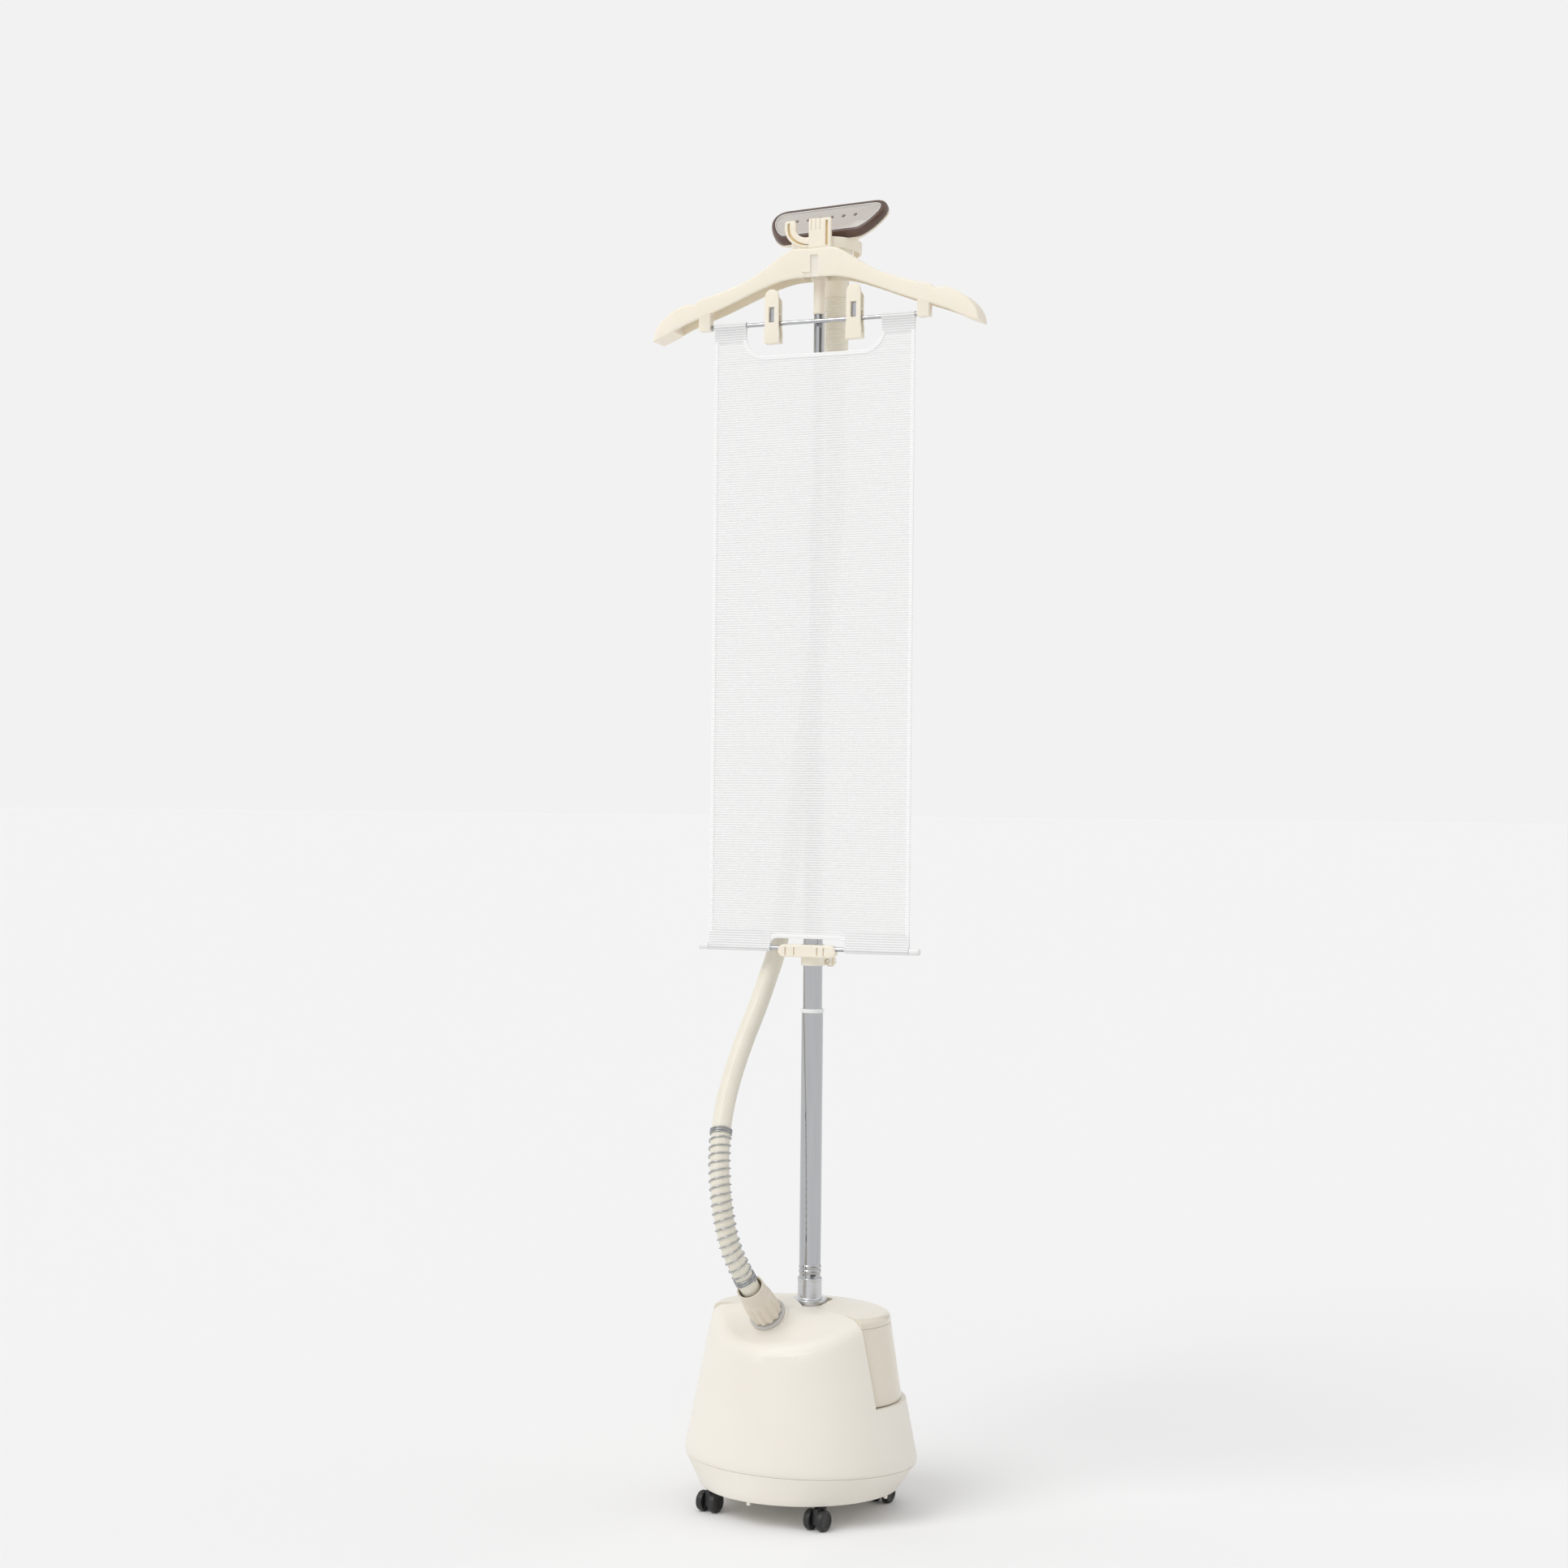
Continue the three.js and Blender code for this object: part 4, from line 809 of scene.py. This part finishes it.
def caster_hood(name, x, y):
    """The hood is a web between the wheels with a short round neck."""
    web = prism("web", [(-15, 9), (-12, 5.5), (-5, 5.5), (2, 12), (4.6, 20), (4.6, 29.2), (-6, 29.2), (-13, 26.5)],
                -4, 4, 0.8)
    web.data.transform(turn(90, "Z"))
    neck = turned("neck", rounded([(0, 24.6), (7.5, 24.6), (7.5, 29.6), (4, 29.6), (4, 46), (0, 46)], 0.5), 40)
    combine(web, neck, how="UNION")
    combine(web, plug(2.6, -20, 20, shift(0, -AXLE_BACK, WHEEL_R) @ turn(90, "Y"), 24))
    settle(web, f"caster_{name}", "black", black, f"caster_hood_{name}", at=shift(x, y, 0), sharp=35)


for caster_at in CASTERS:
    caster(*caster_at)
    caster_hood(*caster_at)


# ---- nozzle
def nozzle():
    ring = turned("nozzle_ring", rounded([
        (7, -42), (12, -42), (12, -4), (24, -4), (24, -0.4), (12, -0.4), (11, 3), (11, 29), (7, 29),
    ], 0.8), 96, ring=True)
    settle(ring, "base", "grey", grey, "steam_outlet", at=NOZZLE, sharp=45)
    flutes = 12
    skirt = 36
    profile = rounded([
        (12.6, 0.5), (20.6, 0.5), (21.3, 3), (21.2, 8), (21, 14), (20.8, 20), (20.6, 25), (20.4, 29),
        (20.2, skirt - 2), (18.4, skirt + 1.5), (17.9, 56.4), (17.4, 57), (15.7, 57), (15.7, 41), (12.6, 41),
    ], 1.0, 3)

    def scallop(r, z, share):
        fade = min(max((skirt - 1 - z) / 8, 0), 1)
        wave = (0.5 + 0.5 * math.cos(share * FULL * flutes)) ** 1.6
        return 2.1 * wave * fade if r > 16 else 0

    nut = turned("scalloped_nut", profile, flutes * 16, ring=True, cut=scallop)
    # the nut takes the ivory plastic with painted shade, a little darker and yellower
    settle(nut, "nozzle_nut", "ivory", shaded_ivory_nut, "hose_nut", at=NOZZLE, sharp=50)


nozzle()


# ---- pole
TUBE_R = (14, 12.5, 9.3, 7)


def pole():
    r = TUBE_R[0]
    flange = BODY_TOP + 0.3
    socket = turned("pole_socket_turning", rounded([
        (r - 1.6, 200), (r + 2, 200), (r + 2, flange), (22.5, flange), (22.5, flange + 5.8), (21.6, flange + 6.4),
        (17, flange + 6.4), (15.6, flange + 8.2), (15.6, flange + 29), (16, flange + 30.5), (16, 291.4),
        (r + 0.4, 291.6), (r + 0.4, 206), (r - 1.6, 206),
    ], 0.8), 96, ring=True)
    settle(socket, "base", "aluminium", aluminium, "pole_socket", at=MAST, sharp=40)
    for i, body in enumerate(("base", "mast_lower", "mast_middle", "mast_upper")):
        node = f"pole_tube_{i + 1}"
        r = TUBE_R[i]
        low, high = low_of(node), high_of(node)
        outer = [(r, low), (r, high)]
        if i == 0:
            outer = [(r, low), (r, 294)]
            for bead in (299.4, 305.6):
                outer += [(r - 0.5, bead - 2.8), (r + 0.55, bead - 1.2), (r + 0.7, bead), (r + 0.55, bead + 1.2),
                          (r - 0.5, bead + 2.8)]
            outer += [(r, 311), (r, high)]
        tube = turned(f"pole_length_{i + 1}", [(r - 1, low), *outer, (r - 1, high)], 72, ring=True)
        settle(tube, body, "chrome", chrome, node, at=MAST, sharp=30)
        if i == 3:
            continue
        top = high + 2.6
        wide = r + 1.2
        bore = TUBE_R[i + 1] + 0.4
        collar = turned(f"pole_collar_{i + 1}", rounded([
            (bore, high + 0.4), (r + 0.4, high + 0.4), (r + 0.4, top - 5), (wide, top - 5), (wide, top), (bore, top),
        ], 0.7), 72, ring=True)
        settle(collar, body, "cream", white, f"tube_collar_{i + 1}", at=MAST, sharp=45)


pole()

# ---- clamp, bars and cloth
CLOTH_Y = -18
CLOTH_HALF = 139.5
BAR_LOW = 718
BAR_HIGH = 1528
LOOP_LOW = 1480
SCREW = shift(18.4, -10, 701.1) @ turn(-90, "X")


def rod_across(name, radius, reach, z, round_by=0.6):
    """A rod along X, in the cloth's plane, that reaches as far to either side."""
    obj = turned(name, rounded([(0, -reach), (radius, -reach), (radius, reach), (0, reach)], round_by), 32)
    obj.data.transform(shift(0, CLOTH_Y, z) @ turn(90, "Y"))
    return obj


def stadium(half_width, low, high, steps=10):
    mid, r = (low + high) / 2, (high - low) / 2
    right = []
    for i in range(steps + 1):
        a = i / steps * math.pi
        right.append((half_width - r + r * math.sin(a), mid - r * math.cos(a)))
    return right + [(-x, z) for x, z in reversed(right)]


def clamp():
    face = prism("clamp_bar", stadium(40, 707, 723), CLOTH_Y - 6, CLOTH_Y + 7, 1.5)
    for x in (-29, -17, 15, 24):
        combine(face, brick("slot", (x - 1, x + 1), (CLOTH_Y - 8, CLOTH_Y - 4), (709.5, 719.5)))
    hub = turned("hub", rounded([(0, 695.7), (15.5, 695.7), (15.5, 723), (0, 723)], 1.0), 72)
    combine(face, brick("bridge", (-13, 13), (CLOTH_Y + 4, -4), (707.5, 722.5)), hub,
            brick("ear", (7, 22), (4, 12), (696, 717), 1.2), how="UNION")
    bar = rod_across("bar_hole", 3.4, 70, BAR_LOW, round_by=0)
    combine(face, plug(12.9, 600, 800), bar, plug(2.9, 0, 40, SCREW, 24))
    settle(soften(face, 0.5, 50), "mast_lower", "cream", cream, "board_clamp", at=MAST)
    profile = rounded([(0, 13.5), (2.4, 13.5), (2.4, 22.4), (7.5, 22.4), (7.5, 29), (6.2, 30.4), (0, 30.4)], 0.8)
    knob = turned("clamp_thumb_screw", profile, 64,
                  cut=lambda r, z, share: 0.7 * (0.5 + 0.5 * math.cos(share * FULL * 8)) if r > 5 else 0)
    settle(knob, "clamp_screw", "cream", cream, "clamp_knob", at=MAST @ SCREW, sharp=50)


def bars():
    low = rod_across("lower_bar", 3, CLOTH_HALF + 10, BAR_LOW)
    settle(low, "mast_lower", "chrome", chrome, "bottom_bar", at=MAST)
    high = rod_across("upper_bar", 2.7, 156.8, BAR_HIGH)
    settle(high, "mast_upper", "chrome", chrome, "top_bar", at=MAST)
    for word, side in (("left", -1), ("right", 1)):
        x = CLOTH_HALF + 0.4
        profile = rounded([(0, x + 11), (3.3, x + 11), (3.3, x), (4.5, x), (4.5, x + 12.4), (3.6, x + 14), (0, x + 14)],
                          0.7)
        cap = turned(f"bar_end_{word}", profile, 40)
        cap.data.transform(shift(0, CLOTH_Y, BAR_LOW) @ turn(90 * side, "Y"))
        settle(cap, "mast_lower", "grey", white, f"bottom_bar_cap_{word}", at=MAST, sharp=45)


def arc(x, z, radius, start_angle, end_angle, steps=10):
    angles = [math.radians(start_angle + (end_angle - start_angle) * i / steps) for i in range(steps + 1)]
    return [(x + radius * math.cos(a), z + radius * math.sin(a)) for a in angles]


TAB_INNER = 94.5
CUT_LOW = 1487
CUT_ROUND = 27
NOTCH_HALF = 52
NOTCH_TOP = 731


def panel_outline():
    """The cloth below its top loops, with the notch over the clamp."""
    notch = arc(-NOTCH_HALF + 9, NOTCH_TOP - 9, 9, 180, 90, 6) + arc(NOTCH_HALF - 9, NOTCH_TOP - 9, 9, 90, 0, 6)
    return [(-CLOTH_HALF, BAR_LOW), (-NOTCH_HALF, BAR_LOW), *notch, (NOTCH_HALF, BAR_LOW), (CLOTH_HALF, BAR_LOW),
            (CLOTH_HALF, LOOP_LOW), (-CLOTH_HALF, LOOP_LOW)]


def cut_out(inset=0.0):
    """The edge of the cut-out between the loops, from right to left."""
    r = CUT_ROUND + inset
    return [(TAB_INNER + inset, BAR_HIGH), *arc(TAB_INNER - CUT_ROUND, CUT_LOW + CUT_ROUND, r, 0, -90),
            *arc(CUT_ROUND - TAB_INNER, CUT_LOW + CUT_ROUND, r, -90, -180), (-TAB_INNER - inset, BAR_HIGH)]


def loops_outline():
    """The strip under the cut-out with the two loops that hold the upper bar."""
    return [(-CLOTH_HALF, LOOP_LOW), (CLOTH_HALF, LOOP_LOW), (CLOTH_HALF, BAR_HIGH), *cut_out(),
            (-CLOTH_HALF, BAR_HIGH)]


def pressing_cloth():
    """The cloth is stretched between the bars, with folded hems round them and a woven binding on its free edges."""
    sheet = prism("pressing_cloth_sheet", panel_outline(), CLOTH_Y - 0.35, CLOTH_Y + 0.35)
    sheet = settle(sheet, "mast_lower", "cloth", cloth, "pressing_cloth", at=MAST, sharp=30)
    loops = prism("cloth_loops", loops_outline(), CLOTH_Y - 0.35, CLOTH_Y + 0.35)
    above = [settle(loops, "mast_upper", "cloth", cloth, at=MAST, sharp=30)]
    below = []
    spans = (("low_left", -CLOTH_HALF, -NOTCH_HALF, BAR_LOW), ("low_right", NOTCH_HALF, CLOTH_HALF, BAR_LOW),
             ("high_left", -CLOTH_HALF, -TAB_INNER, BAR_HIGH), ("high_right", TAB_INNER, CLOTH_HALF, BAR_HIGH))

    def stitch(piece, low, material):
        (below if low else above).append(
            settle(piece, "mast_lower" if low else "mast_upper", "cloth", material, at=MAST, sharp=50))

    for word, x0, x1, z in spans:
        low = z == BAR_LOW
        section = [(CLOTH_Y + y, z + dz) for y, dz in hem_section(1 if low else -1)]
        stitch(prism(f"cloth_hem_{word}", section, x0, x1, along="X"), low, cloth)
    for word, low, run in binding_runs():
        stitch(binding(f"cloth_binding_{word}", run), low, binding_tape)
    for piece in (sheet, *below):
        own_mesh(piece)


def hem_section(inward):
    """The hem's section: a drop round the bar that closes on the cloth 22 mm further in."""
    r = 4.6
    points = []
    for i in range(13):
        a = math.radians(-60 + i * 25)
        points.append((r * math.cos(a), -inward * r * math.sin(a)))
    return [*points, (-0.8, inward * 22), (0.8, inward * 22)]


def binding_runs():
    """The lines that the binding follows round the cloth, each with whether it belongs to the panel."""
    e = 2.6
    edge = CLOTH_HALF - e
    notch = [(-NOTCH_HALF - e, BAR_LOW - 3.5), *arc(-NOTCH_HALF + 9, NOTCH_TOP - 9, 9 + e, 180, 90, 6),
             *arc(NOTCH_HALF - 9, NOTCH_TOP - 9, 9 + e, 90, 0, 6), (NOTCH_HALF + e, BAR_LOW - 3.5)]
    return (("low_left", True, [(-edge, BAR_LOW - 4), (-edge, LOOP_LOW)]),
            ("low_right", True, [(edge, BAR_LOW - 4), (edge, LOOP_LOW)]),
            ("high_left", False, [(-edge, LOOP_LOW), (-edge, BAR_HIGH + 4)]),
            ("high_right", False, [(edge, LOOP_LOW), (edge, BAR_HIGH + 4)]),
            ("cut_out", False, cut_out(e)), ("notch", True, notch))


def binding(name, run):
    """A flat tape 5.6 mm wide folded over the cloth's edge along a line."""
    points = []
    for (x0, z0), (x1, z1) in zip(run, run[1:]):
        count = max(1, round(math.hypot(x1 - x0, z1 - z0) / 20))
        points += [Vector((x0 + (x1 - x0) * i / count, CLOTH_Y, z0 + (z1 - z0) * i / count)) for i in range(count)]
    points.append(Vector((run[-1][0], CLOTH_Y, run[-1][1])))
    last = len(points) + 1

    def place(row, share):
        index = min(max(row - 1, 0), len(points) - 1)
        ahead = (points[min(index + 1, len(points) - 1)] - points[max(index - 1, 0)]).normalized()
        beside = Vector((-ahead.z, 0, ahead.x))
        flat = 0 if row in (0, last) else 1
        c, s = math.cos(share * FULL), math.sin(share * FULL)
        wide = 2.8 * math.copysign(abs(c) ** 0.5, c)
        thick = 1.05 * math.copysign(abs(s) ** 0.5, s)
        return points[index] + (beside * wide + Vector((0, thick, 0))) * flat

    return spun(name, len(points) + 2, 16, place)


clamp()
bars()
pressing_cloth()

# ---- hanger
HANGER_Y = (-26, 10)
HANGER_TOP = 1621
HOLLOW_HALF = 199
HANGER_UPPER = [
    (0, 1621), (29, 1621), (42, 1615.5), (62, 1602.5), (86, 1588.5), (113, 1577.8), (136, 1570.8), (159, 1565.4),
    (164.5, 1561.5), (167.5, 1559.3), (171, 1559.2), (176, 1560.2), (190, 1556.4), (203, 1549.6), (214, 1541),
    (221.5, 1531), (225.6, 1521), (227, 1512.5),
]
HANGER_LOWER = [
    (205, 1521.5), (188, 1530), (162, 1539.6), (143, 1545.8), (118, 1555), (83, 1568.5), (54, 1578.5), (34, 1582.8),
    (0, 1584.2),
]


def eased(points, every):
    """Points on a smooth curve through flat ones."""
    return [(p.x, p.z) for p in smooth_line([(x, 0, z) for x, z in points], every)]


def mirrored(points):
    """A half outline from the middle out and back, with its other half."""
    return points + [(-x, z) for x, z in reversed(points) if x > 0.01]


def hanger():
    upper, lower = eased(HANGER_UPPER, 4), eased(HANGER_LOWER, 6)
    front, rear = HANGER_Y
    skin = applied(soften(prism("hanger_channel", mirrored(upper + lower), front, rear), 3.2, 60, 4))
    drawn = [(x, z - WALL) for x, z in upper if x < HOLLOW_HALF]
    hollow = mirrored(drawn + [(HOLLOW_HALF, 1480), (0, 1480)])
    combine(skin, prism("hanger_hollow", hollow, front + WALL, rear - WALL))
    ribs = [brick("rib", (x - 1, x + 1), (front + 1.5, rear - 1.5), (1588, 1606)) for x in (-24, 24)]
    combine(skin, plug(11.5, 1584.5, 1620), *ribs, how="UNION")
    for side in (-1, 1):
        x0, x1 = sorted((side * 144.2, side * 160.4))
        combine(skin, brick("hook", (x0, x1), (front + 0.2, CLOTH_Y + 5), (1523.4, 1557), 1.2), how="UNION")
    bar = rod_across("bar_hole", 3.1, 157.6, BAR_HIGH, round_by=0)
    groove = brick("groove", (-3, 8), (front - 2, front + 2), (1583, 1612.5), 1.2)
    notch = prism("notch", [(-14, 1590.6), (2.5, 1590.6), (-6, 1583.6)], front - 2, front + 1.4)
    combine(skin, bar, plug(8, 1500, 1616), groove, notch)
    settle(soften(skin, 0.5, 50), "mast_upper", "cream", cream, "hanger", at=MAST, sharp=40)
    stem = turned("hanger_socket", rounded([
        (0, 1503.5), (5.6, 1503.5), (5.6, 1539.4), (7.4, 1539.4), (7.9, 1541.5), (7.4, 1544), (7.4, 1615.4),
        (0, 1615.4),
    ], 0.6), 64)
    settle(stem, "mast_upper", "cream", cream, "hanger_stem", at=MAST, sharp=45)


def cradle():
    low = HANGER_TOP + GAP
    centre, ring_r = 24, 46
    front = centre - ring_r
    bore_r = ring_r - 3
    ring = turned("ring", rounded([
        (bore_r, 1622.4), (ring_r, 1622.4), (ring_r, 1636.6), (bore_r, 1636.6), (bore_r, 1622.4),
    ], 0.7), 96, ring=True)
    ring.data.transform(shift(0, centre, 0))
    combine(ring, brick("mouth", (-23, 23), (centre + 20, centre + 60), (1600, 1700)))
    tongue = brick("cradle_tongue", (-24, 24), (front + 1, 3), (low, 1626), 0.8)
    upstand = brick("upstand", (-7, 24), (front - 0.6, front + 5), (low, 1660), 1.4)
    arm = eased([(-5, 1623), (-14, 1623.4), (-28, 1628.6), (-37, 1637.5), (-40.4, 1647), (-40.4, 1656.5)], 3)
    arm += [(-38.6, 1658.8), (-27, 1658.8), (-25, 1656)]
    arm += eased([(-25, 1648), (-24, 1643), (-20, 1639), (-14, 1636.6), (-5, 1635)], 3)
    hook = prism("hook", arm, front - 0.6, front + 5, 1.2)
    combine(tongue, ring, upstand, hook, how="UNION")
    combine(tongue, plug(bore_r, 1600, 1700, shift(0, centre, 0), 96),
            brick("channel", (16.4, 20.2), (front - 3, front + 3.4), (low + 3, 1656.8)))
    for x in (-2.6, 3.2, 9):
        combine(tongue, brick("groove", (x - 0.6, x + 0.6), (front - 3, front + 0.6), (1645, 1662)))
    trough = eased([(-9, 1625.5), (-18, 1627.4), (-28, 1632.5), (-34.5, 1640), (-36.4, 1648), (-36.4, 1655.5)], 3)
    back = [(x + 3.4, z + 1.2) for x, z in trough]
    combine(tongue, prism("trough", trough + back[::-1], front - 3, front + 3.4))
    settle(soften(tongue, 0.45, 50), "mast_upper", "cream", cream, "handset_cradle", at=MAST, sharp=40)
    # thin sheets laid in the trough and the channel carry only painted warm shade
    trough_painted_shade = prism("cradle_trough_painted_shade", trough + back[::-1], front + 3.3, front + 3.6)
    settle(trough_painted_shade, "mast_upper", "cream", painted_warm_shade, at=MAST)
    strip = brick("cradle_channel_painted_shade", (16.4, 20.2), (front + 3.3, front + 3.6), (low + 3, 1656.8))
    settle(strip, "mast_upper", "cream", painted_warm_shade, at=MAST)


hanger()
cradle()


# ---- trouser clips
CLIP_X = 57


def lever_outline(middle, top, foot=11.0):
    crown = arc(middle, top - 10, 10, 0, 180, 12)
    return [(middle - foot, 1502), (middle + foot, 1502), (middle + foot, 1514), (middle + 10, 1524), *crown,
            (middle - 10, 1524), (middle - foot, 1514)]


def clip(word, side):
    """Two levers that meet at their jaws, with a leaf spring between them."""
    x = side * CLIP_X
    y = CLOTH_Y
    for piece, node, body, top, ys, jaw_ys, rib_ys in (
        ("front", "front", f"clip_{word}", 1572, (y - 6.5, y - 3.5), (y - 4, y - 0.3), (y - 4, y - 1)),
        ("rear", "back", f"clip_lever_{word}", 1565, (y + 3.5, y + 6.5), (y + 0.3, y + 4), (y, y + 4)),
    ):
        lever = prism(f"clip_{piece}_lever_{word}", lever_outline(x, top), *ys, 1.0)
        ribs = [brick("rib", (x + i * 7 - 2, x + i * 7 + 2), rib_ys, (1538.5, 1541.5), 0.3) for i in (-1, 1)]
        combine(lever, brick("jaw", (x - 10, x + 10), jaw_ys, (1502.4, 1510), 0.5), *ribs, how="UNION")
        if node == "front":
            combine(lever, brick("window", (x - 3.8, x + 3.8), (y - 10, y - 3), (1529, 1549)))
        settle(lever, body, "cream", cream, f"clip_{node}_{word}", at=MAST)
    leaf = brick(f"clip_leaf_{word}", (x - 3.4, x + 3.4), (y - 3.2, y - 2.6), (1530, 1548.6), 0.2)
    settle(leaf, f"clip_{word}", "steel", steel, f"clip_spring_{word}", at=MAST)


for clip_word, clip_side in (("left", -1), ("right", 1)):
    clip(clip_word, clip_side)

# ---- handset
RIM = 7
RIM_DEPTH = 9


def bezier(a, b, c, d, steps):
    out = []
    for i in range(steps):
        t = i / steps
        out.append(tuple(p * (1 - t) ** 3 + 3 * q * t * (1 - t) ** 2 + 3 * r * t * t * (1 - t) + s * t**3
                         for p, q, r, s in zip(a, b, c, d)))
    return out


def head_outline(grow=0.0):
    """The head seen square on: narrow below, wide above, with round shoulders. It has 96 points."""
    top, low, wide, corner = 30 + grow, -30 - grow, 86 + grow, 20
    right = [(54 * i / 8, low) for i in range(8)]
    right += bezier((54, low), (68 + grow, low), (wide - 4, -8), (wide, 8), 16)
    right += bezier((wide, 8), (wide + 1, 20), (wide - 4, top), (wide - corner, top), 14)
    right += [((wide - corner) * (1 - i / 10), top) for i in range(10)]
    left = [(-x, y) for x, y in reversed(right[1:])]
    return [*right, (0, top), *left][:96]


def head_loft(name, rings, ring=False):
    """Rings of 96 points, each [outline, height], skinned one after another on the plate's plane."""
    def place(row, share):
        points, z = rings[row]
        x, y = points[round(share * 96) % 96]
        return (x, y, z)

    return spun(name, len(rings), 96, place, ring)


def flat_point(outline, scale=0.0):
    return [(x * scale, y * scale) for x, y in outline]


def steam_plate():
    plate_edge = head_outline(-RIM - GAP - 1.2)
    rings = [(flat_point(plate_edge), -3), (plate_edge, -3), (plate_edge, 0.2), (head_outline(-RIM - GAP - 1.8), 0.7),
             (flat_point(plate_edge, 0.6), 0.8), (flat_point(plate_edge), 0.8)]
    plate = head_loft("steam_face", rings)
    for i in range(6):
        hole = turned("jet", [(0, -10), (2.4, -10), (2.4, -0.2), (3.4, 0.9), (3.4, 6), (0, 6)], 24)
        hole.data.transform(shift((i - 2.5) * 17.7, 4, 0))
        combine(plate, hole)
    settle(plate, "handset", "aluminium", sand_plate, "steam_plate", at=PLATE, sharp=40)
    bead = head_loft("steam_face_bead", [
        (head_outline(grow - RIM), z) for grow, z in ((-0.2, -1), (-0.2, 1.1), (-0.6, 1.4), (-1.2, 1.2), (-1.4, -1))
    ], ring=True)
    settle(bead, "handset", "cream", white, at=PLATE, sharp=50)


def head_rim():
    rings = [(head_outline(grow), z) for grow, z in (
        (-RIM, -RIM_DEPTH), (-0.6, -RIM_DEPTH), (0, -RIM_DEPTH + 1), (-0.1, -4), (-0.9, -1.2), (-2.4, 0.8),
        (-4.2, 1.6), (-6, 1.5), (-RIM, 0.4))]
    rim = head_loft("brown_head_rim", rings, ring=True)
    settle(rim, "handset", "brown", brown, "head_rim", at=PLATE, sharp=60)


def head_shell():
    """The shell blends from the rim's outline to the oval neck, and on to the round handle."""
    back = -RIM_DEPTH - GAP
    to_handset = HANDSET.inverted() @ PLATE
    mouth = [to_handset @ (Vector((x, y, back)) * MM) / MM for x, y in head_outline(-1)]
    count = len(mouth)
    middle = Vector((0, 49, 1637.6))
    neck = []
    root = []
    for point in mouth:
        reach = math.atan2((point.y - 47) * 2.2, point.x)
        neck.append(middle + Vector((35 * math.cos(reach), 16 * math.sin(reach), 0)))
        root.append(Vector((17.5 * math.cos(reach), 74.4 + 17.5 * math.sin(reach), high_of("handle") + GAP)))
    rows = []
    for i in range(9):
        t = i / 8
        bulge = math.sin(t * math.pi) * 0.10
        swell_from = middle + Vector((0, 0, 12))
        rows.append([m.lerp(n, t) + (m.lerp(n, t) - swell_from) * bulge for m, n in zip(mouth, neck)])
    for i in range(1, 7):
        t = i / 6
        ease = t * t * (3 - 2 * t)
        rows.append([Vector((n.x + (r.x - n.x) * ease, n.y + (r.y - n.y) * ease, n.z + (r.z - n.z) * t))
                     for n, r in zip(neck, root)])

    def place(row, share):
        return rows[row][round(share * count) % count]

    shell = spun("head_shell_skin", len(rows), count, place)
    wall = shell.modifiers.new("wall", "SOLIDIFY")
    wall.thickness = 2.2 * MM
    wall.offset = -1
    applied(shell)
    settle(shell, "handset", "cream", cream, "head_shell", at=HANDSET, sharp=60)


def handle_and_boot():
    low, top = low_of("handle"), high_of("handle")
    bore = HOSE_R + 0.7
    handle = turned("handle_neck", rounded([
        (bore, low), (16, low), (16.6, low + 6), (17.5, top), (15, top), (bore + 0.8, low + 9), (bore, low + 4),
    ], 0.6), 64, ring=True)
    settle(handle, "handset", "cream", cream, "handle", at=HANDLE, sharp=50)
    boot_low, boot_top = low_of("handle_boot"), high_of("handle_boot")
    collar = boot_top - 24
    ribs = 34
    pitch = (collar - boot_low) / ribs
    profile = [(bore, boot_low)]
    for i in range(ribs):
        z = boot_low + i * pitch
        profile += [(r, z + pitch * share) for r, share in (
            (15.2, 0.08), (15.7, 0.25), (15.7, 0.6), (15.2, 0.76), (14.9, 0.92))]
    profile += [(16, collar), (16, boot_top - 0.5), (15.6, boot_top), (bore, boot_top)]
    boot = turned("ribbed_boot", profile, 64, ring=True)
    settle(boot, "handset", "cream", cream, "handle_boot", at=HANDLE, sharp=60)


steam_plate()
head_rim()
head_shell()
handle_and_boot()
